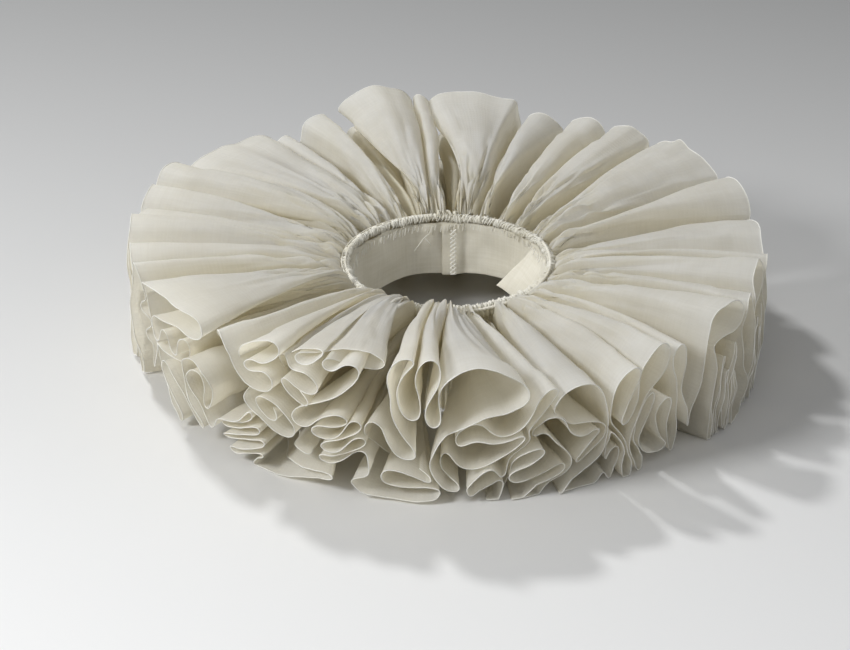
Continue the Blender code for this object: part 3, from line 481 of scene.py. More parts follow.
# a part of the front that lies further in is also lower and a little further round
slope = np.tan(np.clip(wrapped(hem_x / RIM_RADIUS), -STEEPEST, STEEPEST))
hem_x = hem_x + np.clip(pull_in * slope, -MOST_ROUND, MOST_ROUND) * (1 - free)
hem_z = np.maximum(hem_z - DROP_IN * pull_in * np.cos(hem_x / RIM_RADIUS) * (1 - free), MM)
steps_x = np.diff(np.append(hem_x, hem_x[0] + ROUND[0]))
steps_z = np.diff(np.append(hem_z, hem_z[0]))
hem_run = np.concatenate([[0.0], np.cumsum(np.hypot(steps_x, steps_z))])
print("hem, m:", round(float(hem_run[-1]), 2))

# %% [markdown]
# ## The gathered edge
# At the neck the cloth is drawn up so tightly that only its top folds show. Those folds share the ring out
# between them, and everything that hangs lower is tucked in under them.

# %% Where each column meets the neck
TOP_FOLD, LOW_FOLD = 74.0 * MM, 58.0 * MM
HIDDEN_SHARE = 0.08
ROOT_TOP, ROOT_DROP = 66.0 * MM, 32.0 * MM  # of a top fold, and how far under it the lowest one is caught
LEAN_REACH = 0.35  # metres of hem over which the gathering follows the rim
seen = HIDDEN_SHARE + np.clip((hem_z - LOW_FOLD) / (TOP_FOLD - LOW_FOLD), 0, 1)
seen = seen * np.hypot(steps_x, steps_z)
share_round = 2 * math.pi * (np.cumsum(seen) - 0.5 * seen) / seen.sum()
lean = hem_x / RIM_RADIUS - share_round
reach = int(LEAN_REACH / COLUMN_STEP)
tripled = np.concatenate([lean, lean, lean])
kernel = np.hanning(2 * reach + 1)
followed = np.convolve(tripled, kernel / kernel.sum(), mode="same")[COLUMNS:2 * COLUMNS]
root_angle = share_round + followed
root_z = ROOT_TOP - ROOT_DROP * (1 - np.clip(hem_z / TOP_FOLD, 0, 1)) ** 0.8
print("gathering, degrees of lean, at most:", round(math.degrees(float(np.abs(lean - followed).max())), 1))

# %% How far out the hem lies
CONE_FOOT, CONE_RISE, CONE_TALL = 190.0 * MM, 10.0 * MM, 90.0 * MM
cone = CONE_FOOT + CONE_RISE * hem_z / CONE_TALL  # the front of the rim leans out as it rises
stretched = ROOT_RADIUS + np.sqrt(FRILL_WIDTH**2 - (hem_z - root_z) ** 2)
rim_radius = cone + (stretched - cone) * free - pull_in
print("rim radius, mm:", round(float(rim_radius.min()) / MM), "to", round(float(rim_radius.max()) / MM))

# %% [markdown]
# ## From the hem to the neck
# Every column of the cloth runs straight out from its place in a pleat to its place on the hem, and is as
# long as the strip is wide. Then the cloth is given its life: the top folds arch a little between neck and
# rim, and each fold is puckered where it leaves the gathering, creased along its length and almost smooth
# at the hem.

# %% The ruled cloth
ROW_COUNT = 30
ROWS = np.linspace(0.0, 1.0, ROW_COUNT) ** 1.18
ARCH = 6.0 * MM
FLOOR_CLEAR = 0.6 * MM
TOP_FROM, TOP_OVER = 48.0 * MM, 28.0 * MM  # from where, and over what height, a fold comes to be a top fold
POP, POP_FRONT, POP_SHARE = 2.5 * MM, 5.0 * MM, 0.12
POP_LEFT, POP_RIGHT, POP_EDGE = math.radians(-60.0), math.radians(8.0), 0.12
LEAN_IN = 4.0 * MM
MEANDER, MEANDER_CELLS = 4.0 * MM, 31
UNEVEN_EDGE = 2.4 * MM
angle_round = wrapped(hem_x / RIM_RADIUS)
top_weight = smooth(np.clip((hem_z - TOP_FROM) / TOP_OVER, 0, 1))
popping = np.clip((angle_round - POP_LEFT) / POP_EDGE, 0, 1)
popping = popping * np.clip((POP_RIGHT - angle_round) / POP_EDGE, 0, 1)


def run_noise(width, seed):
    """Noise along the closed run of the hem, about this wide."""
    cells = round(hem_run[-1] / width)
    return wander(hem_run[:-1] / hem_run[-1] * cells, np.zeros(COLUMNS), seed, cells)


def ruled(share):
    """Points of the cloth at one share of its width from the neck, without its wrinkles."""
    uneven = UNEVEN_EDGE * run_noise(20 * MM, 11)
    opened, fanned = 1 - (1 - share) ** SPREAD, 1 - (1 - share) ** FAN
    around = root_angle + (hem_x / RIM_RADIUS - root_angle) * fanned
    sink = LOW_SINK * np.clip(1 - hem_z / LOW_HEM, 0, 1)
    z = root_z + (hem_z - root_z) * opened - sink * opened**3
    z = z + ARCH * top_weight * math.sin(math.pi * share**0.8)
    # the folds puff up close to the neck, and at the front they rise and lean over the ridge
    puff = share / POP_SHARE * math.exp(1 - share / POP_SHARE)
    z = z + puff * top_weight * (POP + (POP_FRONT - POP) * popping)
    radius = ROOT_RADIUS + (rim_radius + pull_in - ROOT_RADIUS) * share
    radius = radius - (pull_in - uneven * share) * share**2 - LEAN_IN * puff * top_weight * popping
    turn = (hem_x / (2 * math.pi * RIM_RADIUS)) % 1 * MEANDER_CELLS
    shifted = share / 0.8 + 1 + run_noise(300 * MM, 13)
    sway = wander(turn, shifted, 12, MEANDER_CELLS)
    around = around + MEANDER * math.sin(math.pi * share) * sway / radius
    x = NECK_X + radius * np.sin(around)
    y = NECK_Y - radius * np.cos(around)
    return np.stack([x, y, np.maximum(z, FLOOR_CLEAR)], axis=-1)


def normals_of(grid):
    """The direction straight out of the cloth at every point of a grid that closes round the ring."""
    normal = np.cross(np.roll(grid, -1, axis=0) - np.roll(grid, 1, axis=0), np.gradient(grid, axis=1))
    return normal / np.maximum(np.linalg.norm(normal, axis=-1, keepdims=True), 1e-12)


cloth = np.stack([ruled(share) for share in ROWS], axis=1)
print("cloth grid:", cloth.shape)

# %% Puckers, creases and soft waves
SKEW = 40.0 * MM  # how far a crease may slant across the strip
CALM, CALM_AT, CALM_WIDE = 0.75, math.radians(-36.0), math.radians(13.0)  # one broad lobe is almost smooth
share = ROWS[None, :]
skew = SKEW * run_noise(90 * MM, 20)[:, None] * share


def creases(width, along_width, seed, sharp=0.0):
    """Radial creases about this wide, that change over a share of the cloth's width; sharp: thin ridges."""
    cells = round(hem_run[-1] / width)
    run = (hem_run[:-1, None] + skew) / hem_run[-1] * cells
    place = share / along_width + 1 + run_noise(45 * MM, seed + 100)[:, None]
    value = wander(run, place, seed, cells)
    return (1 - sharp) * value + sharp * (1 - 2 * np.sqrt(np.abs(value)))


gather_reach = 0.40 + 0.22 * run_noise(40 * MM, 21)[:, None]
gather_fade = np.clip(1 - share / gather_reach, 0, 1) ** 1.2
mid_fade = np.sin(math.pi * np.clip(share / 0.95, 0, 1) ** 0.62) ** 1.2
hem_fade = share**2
lift = 2.1 * MM * mid_fade * creases(9 * MM, 0.45, 23, sharp=0.45)
lift += 3.2 * MM * mid_fade * creases(24 * MM, 0.8, 24)
lift *= (1 - CALM * np.exp(-(((angle_round - CALM_AT) / CALM_WIDE) ** 2)))[:, None]
lift += 0.4 * MM * hem_fade * creases(12 * MM, 0.5, 25)
lift += 0.45 * MM * creases(6 * MM, 0.12, 26) * (0.4 + share) * (1 - 0.6 * hem_fade)
cloth = cloth + lift[..., None] * normals_of(cloth)
print("wrinkles, mm, up to:", round(float(np.abs(lift).max()) / MM, 2))

# %% Gathers and tight pleats close to the neck
GATHER_DEEP = 2.6 * MM
CREST_CELL, TUCK_FROM, TUCK_REACH = 8.0 * MM, 4.0 * MM, 28.0 * MM
PLEATS, PLEAT_DEEP, PLEAT_LONG, PLEAT_STRAY = 190, 5.5 * MM, 0.13, 9.0
# how far each part lies under the highest fold near it, from 0 for the top to 1
cell = np.floor((hem_x % ROUND[0]) / CREST_CELL).astype(int)
crests = np.zeros(cell.max() + 1)
np.maximum.at(crests, cell, hem_z)
crests = np.maximum(crests, np.maximum(np.roll(crests, 1), np.roll(crests, -1)))
low_fold = np.clip((crests[cell] - hem_z - TUCK_FROM) / TUCK_REACH, 0, 1)[:, None]
# the gathers are deep and upright, and hold most of the strip's length at the neck
gathers = creases(6.5 * MM, 0.5, 22, sharp=0.55) + 0.45 * creases(3.4 * MM, 0.3, 27)
# closest to the neck every pleat is a round tuck with a thin dark valley beside it
pleat_place = (root_angle / (2 * math.pi) * PLEATS)[:, None]
pleat_place = pleat_place + PLEAT_STRAY * share * run_noise(60 * MM, 29)[:, None]
pleat_along = share / PLEAT_LONG + 1 + run_noise(12 * MM, 30)[:, None]
pleats = 2 * np.sqrt(np.abs(wander(pleat_place, pleat_along, 34, PLEATS))) - 1
far_running = np.clip(wander(pleat_place / 2, 0.6 * pleat_along, 36, PLEATS // 2), 0, 1)
pleat_reach = 0.18 + 0.08 * run_noise(30 * MM, 35)[:, None] + 0.65 * far_running
pleat_fade = np.exp(-((share / pleat_reach) ** 2)) * (0.4 + 0.6 * np.clip(share / 0.03, 0, 1))
pleat_fade *= 1 - 0.65 * np.clip(share / 0.4, 0, 1)
pleat_fade *= 1 - 0.7 * popping[:, None]
pleat_fade *= 1 - 0.75 * low_fold  # what lies under stays clear of what lies over
calmed = 1 - 0.4 * popping[:, None]
cloth[..., 2] += GATHER_DEEP * gather_fade * gathers * calmed + PLEAT_DEEP * pleat_fade * pleats
cloth[..., 2] = np.maximum(cloth[..., 2], FLOOR_CLEAR)
# painted shade: where the cloth lies tucked away, in the low folds and in the valleys near the neck, its white
# is painted warmer and darker for the shade there and the light that bounces between the folds; a little
# random tone is mixed in
valley = 0.6 * np.clip(-gathers - 0.1, 0, 1) * gather_fade + 1.3 * np.clip(0.3 - pleats, 0, 1) * pleat_fade
tucked = np.clip(0.8 * low_fold * (1 - 0.75 * share**1.5) + valley + 0.1 * creases(30 * MM, 0.4, 28), 0, 1)
print("tucked away, of the whole strip:", round(float(tucked.mean()), 2))

# %% [markdown]
# ## Linen
# Fine ruff linen is a plain weave so thin that light comes through it: where two or three layers overlap it
# is creamy and opaque, where one layer stands against the light it glows. A Principled shader gives the
# matt surface with the slight sheen of pressed thread, and a Translucent one is mixed in for the light from
# behind. The weave is laid in the cloth's own measure, along and across the strip, so that it follows every
# fold.

# %% Small helpers for shader nodes
def fresh_material(name):
    """An empty material, and its nodes."""
    material = bpy.data.materials.new(name)
    material.use_nodes = True
    material.node_tree.nodes.clear()
    return material, material.node_tree.nodes


def put(nodes, kind, spot, feeds=(), **values):
    """A node. Its inputs, by name or by their number in feeds, take values or another node's output."""
    node = nodes.new(kind)
    node.location = spot
    inputs = dict(feeds)
    for key, value in values.items():
        if key in node.inputs:
            inputs[key] = value
        else:
            setattr(node, key, value)
    for key, value in inputs.items():
        if isinstance(value, bpy.types.NodeSocket):
            node.id_data.links.new(value, node.inputs[key])
        else:
            node.inputs[key].default_value = value
    return node

# %% The recipe for linen
SLUBS = ((30.0, 650.0), (700.0, 24.0))  # slubs to the metre, along and across, for each way of the weave


def linen(name, light, dark, thin, see_through, thread=0.42 * MM, bump=0.25, shade_tint=None):
    """Woven linen in the measure of the UV map, which is in metres; the last colour, if given, is painted
    shade that tints what lies tucked in.
    """
    material, nodes = fresh_material(name)
    place = put(nodes, "ShaderNodeTexCoord", (-1500, 0))
    # slubs: long faint streaks where a thread is thicker, both ways of the weave
    streaks = []
    for turn, (along, across) in enumerate(SLUBS):
        scaled = put(nodes, "ShaderNodeMapping", (-1300, -300 * turn), Vector=place.outputs["UV"],
                     Scale=(along, across, 1.0))
        slub = put(nodes, "ShaderNodeTexNoise", (-1100, -300 * turn), Vector=scaled.outputs["Vector"],
                   Scale=1.0, Detail=2.0, Roughness=0.6)
        streaks.append(slub.outputs["Fac"])
    cloud = put(nodes, "ShaderNodeTexNoise", (-1100, 350), Vector=place.outputs["Object"], Scale=38.0,
                Detail=4.0, Roughness=0.6)
    slubs = put(nodes, "ShaderNodeMath", (-900, -150), enumerate(streaks), operation="ADD")
    both = put(nodes, "ShaderNodeMath", (-740, 0), {0: slubs.outputs[0], 1: 0.5, 2: cloud.outputs["Fac"]},
               operation="MULTIPLY_ADD")
    tone = put(nodes, "ShaderNodeMapRange", (-700, 220), Value=both.outputs[0],
               **{"From Min": 0.6, "From Max": 1.4})
    ramp = put(nodes, "ShaderNodeValToRGB", (-560, 60), Fac=tone.outputs["Result"])
    for element, at, shade in zip(ramp.color_ramp.elements, (0.25, 0.75), (dark, light)):
        element.position, element.color = at, (*shade, 1.0)
    colour = ramp.outputs["Color"]
    # painted shade: the tucked attribute multiplies the colour by the given tint, warmer and darker where the
    # cloth lies under other folds
    if shade_tint:
        shade_mask = put(nodes, "ShaderNodeAttribute", (-560, 420), attribute_name="tucked")
        tinted = put(nodes, "ShaderNodeMix", (-200, 240), data_type="RGBA", blend_type="MULTIPLY",
                     feeds={0: shade_mask.outputs["Fac"], 6: colour, 7: (*shade_tint, 1.0)})
        colour = tinted.outputs[2]
    # the weave itself: threads over and under as two waves
    waves = []
    for turn, direction in enumerate(("X", "Y")):
        wave = put(nodes, "ShaderNodeTexWave", (-900, -500 - 260 * turn), Vector=place.outputs["UV"],
                   bands_direction=direction, Scale=0.05 / thread, Distortion=0.6, Detail=1.0,
                   **{"Detail Scale": 1.5})
        waves.append(wave.outputs["Fac"])
    woven = put(nodes, "ShaderNodeMath", (-640, -560), enumerate(waves), operation="MAXIMUM")
    height = put(nodes, "ShaderNodeMath", (-440, -420), {0: slubs.outputs[0], 1: 0.8, 2: woven.outputs[0]},
                 operation="MULTIPLY_ADD")
    raised = put(nodes, "ShaderNodeBump", (-220, -300), Height=height.outputs[0], Strength=bump,
                 Distance=0.12 * MM)
    shader = put(nodes, "ShaderNodeBsdfPrincipled", (200, 100), Normal=raised.outputs["Normal"],
                 Roughness=0.82, **{"Base Color": colour, "Sheen Weight": 0.25, "Sheen Roughness": 0.45,
                                    "Specular IOR Level": 0.25})
    surface = shader.outputs["BSDF"]
    if see_through:
        glow = put(nodes, "ShaderNodeBsdfTranslucent", (200, -250), Normal=raised.outputs["Normal"],
                   Color=(*thin, 1.0))
        mixed = put(nodes, "ShaderNodeMixShader", (480, 0),
                    {0: see_through, 1: surface, 2: glow.outputs["BSDF"]})
        surface = mixed.outputs["Shader"]
    put(nodes, "ShaderNodeOutputMaterial", (700, 0), Surface=surface)
    return material


# the frill's last colour is painted shade, a warm tint for the folds that lie tucked away
frill_cloth = linen("fine_frill_linen", light=(0.872, 0.88, 0.885), dark=(0.775, 0.775, 0.762),
                    thin=(0.95, 0.895, 0.74), see_through=0.5, bump=0.45, shade_tint=(0.95, 0.9, 0.73))
hem_cloth = linen("rolled_hem_linen", light=(0.975, 0.965, 0.925), dark=(0.915, 0.895, 0.82),
                  thin=(0.8, 0.75, 0.6), see_through=0.12, thread=0.3 * MM)
print("materials:", frill_cloth.name, hem_cloth.name)

# %% [markdown]
# ## The fourteen lengths
# Cloth this fine needs no thickness: each length is a single sheet of quads, and the next one starts where
# it ends. A tube along its outer edge is the hand-rolled hem, about a thread's width across, which is what
# draws the bright lines.

# %% A piece of cloth from its corners
def placed(name, data):
    """A new object in the scene."""
    made = bpy.data.objects.new(name, data)
    bpy.context.scene.collection.objects.link(made)
    return made


def smooth_piece(name, corners, faces, uv, material):
    """A piece from corners and faces; uv places each corner of each face in the cloth's own measure."""
    mesh = bpy.data.meshes.new(name)
    mesh.from_pydata(corners, [], faces)
    mesh.materials.append(material)
    mesh.uv_layers.new(name="cloth_measure").data.foreach_set("uv", np.asarray(uv, np.float32).ravel())
    mesh.shade_smooth()
    mesh.update()
    return placed(name, mesh)

# %% A sheet from a grid of points
def four_corners(index):
    """The values of a grid at the four corners of each of its squares."""
    return np.stack([index[:-1, :-1], index[1:, :-1], index[1:, 1:], index[:-1, 1:]], axis=2)


def sheet_mesh(name, grid, along, across, material, closed_along=False, closed_across=False):
    """A sheet through a grid of points; along and across are its measures, in metres."""
    columns, rows = grid.shape[:2]
    index = np.arange(columns * rows).reshape(columns, rows)
    full = np.stack(np.broadcast_arrays(along[:, None], across[None]), axis=-1)
    if closed_along:
        index = np.vstack([index, index[:1]])
        full = np.vstack([full, full[:1] + (full[-1:] - full[-2:-1]) * columns])
    if closed_across:
        index = np.hstack([index, index[:, :1]])
        full = np.hstack([full, 2 * full[:, -1:] - full[:, -2:-1]])
    faces = four_corners(index).reshape(-1, 4).tolist()
    return smooth_piece(name, grid.reshape(-1, 3).tolist(), faces, four_corners(full), material)

# %% A round strand
def walked(points):
    """How far along a line each of its points lies."""
    return np.concatenate([[0.0], np.cumsum(np.linalg.norm(np.diff(points, axis=0), axis=1))])


def tube(name, points, radius, material, sides):
    """A round strand along a line of points; radius may change along it."""
    points = np.asarray(points)
    tangent = np.gradient(points, axis=0)
    tangent /= np.maximum(np.linalg.norm(tangent, axis=1, keepdims=True), 1e-12)
    side = np.cross(tangent, [0.0, 0.0, 1.0])
    weak = np.linalg.norm(side, axis=1) < 0.2
    side[weak] = np.cross(tangent[weak], [1.0, 0.0, 0.0])
    side /= np.linalg.norm(side, axis=1, keepdims=True)
    for here in range(1, len(points)):
        carried = side[here - 1] - tangent[here] * np.dot(side[here - 1], tangent[here])
        side[here] = carried / max(np.linalg.norm(carried), 1e-12)
    up = np.cross(side, tangent)
    around = np.linspace(0, 2 * math.pi, sides, endpoint=False)
    spread = np.broadcast_to(np.asarray(radius, float), (len(points),))[:, None, None]
    ring = np.cos(around)[None, :, None] * side[:, None] + np.sin(around)[None, :, None] * up[:, None]
    return sheet_mesh(name, points[:, None] + spread * ring, walked(points), around * float(np.mean(radius)),
                      material, closed_across=True)

# %% Cut the lengths and roll their hems
def paint_tucked_shade(piece, values):
    """How much each corner lies tucked away, which the frill's linen shows as painted shade, a warmer, darker
    white.
    """
    shade = piece.data.attributes.new("tucked", "FLOAT", "POINT")
    shade.data.foreach_set("value", np.asarray(values, np.float32).ravel())


HEM_RADIUS, HEM_UNEVEN, HEM_LUMP = 0.33 * MM, 0.22, 1.6 * MM  # its roll; how much, and how often, that swells
for number, start in enumerate(starts):
    end = starts[number + 1] if number + 1 < len(starts) else COLUMNS
    picked = np.arange(start, end + 1) % COLUMNS
    grid = cloth[picked]
    along = hem_run[start:end + 1] - hem_run[start]
    piece = sheet_mesh(f"frill_cloth_{number + 1:02d}", grid, along, ROWS * FRILL_WIDTH, frill_cloth)
    paint_tucked_shade(piece, tucked[picked])
    roll = HEM_RADIUS * (1 + HEM_UNEVEN * wander(along / HEM_LUMP, np.zeros(len(along)), 40 + number))
    hem = tube(f"rolled_hem_{number + 1:02d}", grid[:, -1], roll, hem_cloth, 5)
    for made in (piece, hem):
        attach(made, "root")
    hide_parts(LENGTHS[number])

# %% [markdown]
# ## The neckband
# A strip of stouter linen twice as wide as the band is folded along its middle and laps at the back. Its
# lower edge has lost its starch and fallen inwards on one side. It is swept round the neck as one folded
# sheet: down the inside, round the fold and up the outside. Whipping the frill to its top has puckered it
# there.

# %% Sizes of the band
BAND_RADIUS, BAND_WALL = 62.9 * MM, 1.3 * MM  # inner face; from face to face
BAND_TOP, BAND_HEIGHT = 62.5 * MM, 35.0 * MM
BAND_LAP, BAND_LAP_END = math.radians(12.0), math.radians(183.5)
BAND_LEAN, BAND_LEAN_AT = 21.0 * MM, math.radians(118.0)
LEAN_FAR, LEAN_NEAR = math.radians(4.0), math.radians(42.0)  # it bends sharply on one side of the fall
LEAN_SLANT = math.radians(13.0)  # the bend runs this far round on its way down
HANG, HANG_AT, HANG_SPREAD = 3.5 * MM, math.radians(232.0), math.radians(30.0)
PUCKER, SOFT, BAND_WAVE, LAP_IN = 1.2 * MM, 2.1 * MM, 1.2 * MM, 2.3 * MM  # how deep, and the lap's step in
PUCKER_CELLS, SOFT_CELLS, WAVE_CELLS = 96, 30, 14  # puckers, soft hollows and waves in the whole round
BAND_COLUMNS, FACE_ROWS, FOLD_ROWS = 330, 20, 5


def round_neck(radius, angle, z):
    """Points round the axis of the neck; an angle of nought is at the front."""
    x, y = NECK_X + radius * np.sin(angle), NECK_Y - radius * np.cos(angle)
    return np.stack(np.broadcast_arrays(x, y, z), axis=-1)


def band_point(angle, down, face):
    """A point of the band: down runs from 0 at its top to 1 at the fold, face from 0 inside to 1 outside."""
    turn = wrapped(angle - BAND_LEAN_AT - LEAN_SLANT * down)
    lean = BAND_LEAN * np.exp(-((turn / np.where(turn > 0, LEAN_FAR, LEAN_NEAR)) ** 2))
    around = (angle % (2 * math.pi)) / (2 * math.pi)
    pucker = PUCKER * np.clip(1 - down / 0.35, 0, 1)
    pucker = pucker * wander(around * PUCKER_CELLS, down * 2, 31, PUCKER_CELLS)
    soft = SOFT * np.sin(math.pi * np.clip(0.15 + down, 0, 1))
    soft = soft * wander(around * SOFT_CELLS, down * 1.4, 32, SOFT_CELLS)
    lapped = BAND_LAP_END - 1.15 * BAND_LAP
    inwards = LAP_IN * np.clip((angle - lapped) / (0.6 * BAND_LAP), 0, 1)
    radius = BAND_RADIUS + BAND_WALL * face - lean * down**1.5 - inwards + pucker + soft
    drop = np.sqrt(BAND_HEIGHT**2 - lean**2) * down
    wave = BAND_WAVE * down * wander(around * WAVE_CELLS, np.zeros_like(angle), 33, WAVE_CELLS)
    hang = (angle % (2 * math.pi) - HANG_AT) / HANG_SPREAD
    wave = wave - HANG * down * np.exp(-hang * hang)
    return round_neck(radius, angle, BAND_TOP - drop + wave)

# %% Sweep the folded strip
BEND_OUT = 0.02  # how far the fold rounds out below the faces
rounding = np.linspace(0, math.pi, FOLD_ROWS + 2)[1:-1]
faces_down = np.linspace(0, 1, FACE_ROWS)
down = np.concatenate([faces_down, 1 + BEND_OUT * np.sin(rounding), faces_down[::-1]])
face = np.concatenate([np.zeros(FACE_ROWS), 0.5 - 0.5 * np.cos(rounding), np.ones(FACE_ROWS)])
angles = np.linspace(BAND_LAP_END - 2 * math.pi - BAND_LAP, BAND_LAP_END, BAND_COLUMNS)
band_grid = band_point(*np.broadcast_arrays(angles[:, None], down, face))
band_cloth = linen("neckband_linen", light=(0.90, 0.866, 0.76), dark=(0.80, 0.76, 0.64),
                   thin=(0.82, 0.74, 0.55), see_through=0.14, thread=0.5 * MM, bump=0.4)
strip = np.linspace(0, 2 * BAND_HEIGHT, len(down))
band = sheet_mesh("neckband_cloth", band_grid, angles * BAND_RADIUS, strip, band_cloth)

# %% [markdown]
# ## The whipped ridge
# Every pleat of the frill is caught to the band by one stitch, so the seam is a ridge of small pleat heads
# with slanting threads over it. It is a ring whose round section swells and shrinks once for every pleat. A
# second, rougher row of heads lies outside it, where the gathers dive into the seam.

# %% A ring of pleat heads
RING_SIDES, HEAD_STEPS = 12, 5  # round the section, and along each head
RING_STRAY, RING_RISE, RISE_CELLS = 0.7 * MM, 0.6 * MM, 40  # how far the ring wanders out, and up


def pleat_ring(name, ring_radius, height, thick, heads, depth, rough, material, seed):
    """A ring whose section is thick, swells by depth at each head and is uneven by rough."""
    columns = heads * HEAD_STEPS
    angle = np.linspace(0, 2 * math.pi, columns, endpoint=False)[:, None]
    section_way = np.linspace(0, 2 * math.pi, RING_SIDES, endpoint=False)[None]
    share_of_turn = angle / (2 * math.pi)
    wide = wander(share_of_turn * heads / 3, 0 * angle, seed, heads // 3)
    crush = wander(share_of_turn * heads, section_way, seed + 1, heads)
    swell = depth * np.sin(heads * angle + 2.4 * wide + 1.1 * section_way)
    section = thick * (1 + swell + rough * crush)
    radius = ring_radius + RING_STRAY * wide + section * np.cos(section_way)
    z = height + RING_RISE * wander(share_of_turn * RISE_CELLS, 0 * angle, seed + 2, RISE_CELLS)
    grid = round_neck(radius, angle, z + section * np.sin(section_way))
    return sheet_mesh(name, grid, angle[:, 0] * ring_radius, section_way[0] * thick, material,
                      closed_along=True, closed_across=True)


RIDGE_RADIUS, RIDGE_HEIGHT, RIDGE_THICK, HEADS = 65.2 * MM, 64.8 * MM, 2.2 * MM, 192
OUTER_RADIUS, OUTER_HEIGHT, OUTER_THICK, OUTER_HEADS = 68.6 * MM, 62.6 * MM, 2.5 * MM, 150
ridge_cloth = linen("whipped_linen", light=(0.89, 0.865, 0.785), dark=(0.72, 0.68, 0.555),
                    thin=(0.8, 0.74, 0.58), see_through=0.1, thread=0.4 * MM, bump=0.5)
ridge = pleat_ring("whipped_ridge", RIDGE_RADIUS, RIDGE_HEIGHT, RIDGE_THICK, HEADS, 0.26, 0.6,
                   ridge_cloth, 61)
outer_heads = pleat_ring("gathered_heads", OUTER_RADIUS, OUTER_HEIGHT, OUTER_THICK, OUTER_HEADS, 0.34, 0.38,
                         frill_cloth, 71)
print("pleat heads:", HEADS, "and", OUTER_HEADS)

# %% The inner pleats against the band
# A quarter of the strip never opens: it stands in tight pleats round the band and hides its outer face.
PLEATS_TOP, PLEATS_FOOT, PLEATS_FLARE, PLEATS_DEEP = 62.0 * MM, 1.0 * MM, 9.0 * MM, 1.7 * MM
FOOT_RISE = 26.0 * MM  # at the back they end with the band
PLEAT_STEPS, PLEAT_ROWS, PLEAT_CELLS = 7, 12, 50  # steps along each pleat, rows down it, places that differ
angle = np.linspace(0, 2 * math.pi, OUTER_HEADS * PLEAT_STEPS, endpoint=False)[:, None]
sunk = np.linspace(0, 1, PLEAT_ROWS)[None]
turned = angle / (2 * math.pi) * PLEAT_CELLS
bend = 2.2 * wander(turned, 2.5 * sunk, 75, PLEAT_CELLS)
radius = PLEATS_DEEP * (0.6 + 0.7 * sunk) * np.sin(OUTER_HEADS * angle + bend)
radius = OUTER_RADIUS + PLEATS_FLARE * sunk**2 + radius
foot = PLEATS_FOOT + FOOT_RISE * np.clip(1.4 - 2.2 * np.cos(angle), 0, 1)
z = PLEATS_TOP + (foot - PLEATS_TOP) * sunk + 3 * MM * sunk * wander(turned, 0 * turned, 76, PLEAT_CELLS)
z = np.maximum(z, FLOOR_CLEAR)  # they stand on what the ruff lies on
inner_pleats = sheet_mesh("inner_pleats", round_neck(radius, angle, z), angle[:, 0] * OUTER_RADIUS * 2,
                          sunk[0] * (PLEATS_TOP - PLEATS_FOOT), frill_cloth, closed_along=True)
# painted shade all over the outer heads and the inner pleats, which stand under the folds at the neck
for piece in (outer_heads, inner_pleats):
    paint_tucked_shade(piece, np.ones(len(piece.data.vertices)))
print("inner pleats:", OUTER_HEADS, "mm tall:", round((PLEATS_TOP - PLEATS_FOOT) / MM))

# %% [markdown]
# ## Threads
# The whipping stitches, the felling stitches under them, the herringbone that closes the lap and the loose
# end at the back are all linen thread, a little over half a millimetre across; the herringbone is worked
# with it doubled. Many short stitches are joined into one piece, because they belong to one seam.

# %% Thread and stitches
THREAD = 0.3 * MM  # half its width
FELLING = 160  # stitches between the band and the gathers, below the ridge
sewing = linen("sewing_thread", light=(0.95, 0.93, 0.86), dark=(0.82, 0.79, 0.69), thin=(0.8, 0.75, 0.6),
               see_through=0.0, thread=0.2 * MM, bump=0.3)


def joined(name, made, material):
    """One piece from many short strands."""
    corners, faces, spots = [], [], []
    for strand in made:
        mesh = strand.data
        faces += [[index + len(corners) for index in face.vertices] for face in mesh.polygons]
        spots += [tuple(item.uv) for item in mesh.uv_layers[0].data]
        corners += [tuple(corner.co) for corner in mesh.vertices]
        bpy.data.objects.remove(strand)
        bpy.data.meshes.remove(mesh)
    return smooth_piece(name, corners, faces, spots, material)


def on_band(angle, down, face):
    """One point beside the band; a face below nought lies that many thicknesses inside it."""
    return band_point(np.array(angle), np.array(down), np.array(face))


chance = np.random.default_rng(81)
made = []
for stitch in range(HEADS):
    angle = 2 * math.pi * (stitch + 0.3 * chance.uniform(-1, 1)) / HEADS
    slant = 0.016 + 0.008 * chance.uniform(-1, 1)
    way = np.linspace(math.radians(-35), math.radians(215) + 0.3 * chance.uniform(-1, 1), 8)
    high = RIDGE_THICK * (1.12 + 0.10 * chance.uniform(-1, 1))
    arc = round_neck(RIDGE_RADIUS + high * np.cos(way), angle + slant * (way - 1.5),
                     RIDGE_HEIGHT + high * np.sin(way))
    made.append(tube("stitch", arc, THREAD, sewing, 4))
whipping = joined("whipping_stitches", made, sewing)
made = []
for stitch in range(FELLING):
    angle = 2 * math.pi * (stitch + 0.35 * chance.uniform(-1, 1)) / FELLING
    low = 0.11 + 0.04 * chance.uniform(-1, 1)
    spots = [on_band(angle + 0.012 * end, low * end + 0.005, -0.7) for end in (0.0, 0.35, 0.7, 1.0)]
    made.append(tube("stitch", spots, THREAD, sewing, 4))
felling = joined("felling_stitches", made, sewing)
print("stitches:", HEADS, "over the ridge and", FELLING, "below it")

# %% Herringbone down the lap, and the loose thread
LAP_STITCH, CROSSES = math.radians(176.5), 11
HALF_WIDE, PITCH = 0.032, 0.085  # radians to each side; share of the band's height
FIRST_CROSS, LAST_CROSS, CROSS_FACE = 0.08, 0.97, -2.15  # down the band's height; thicknesses inside it
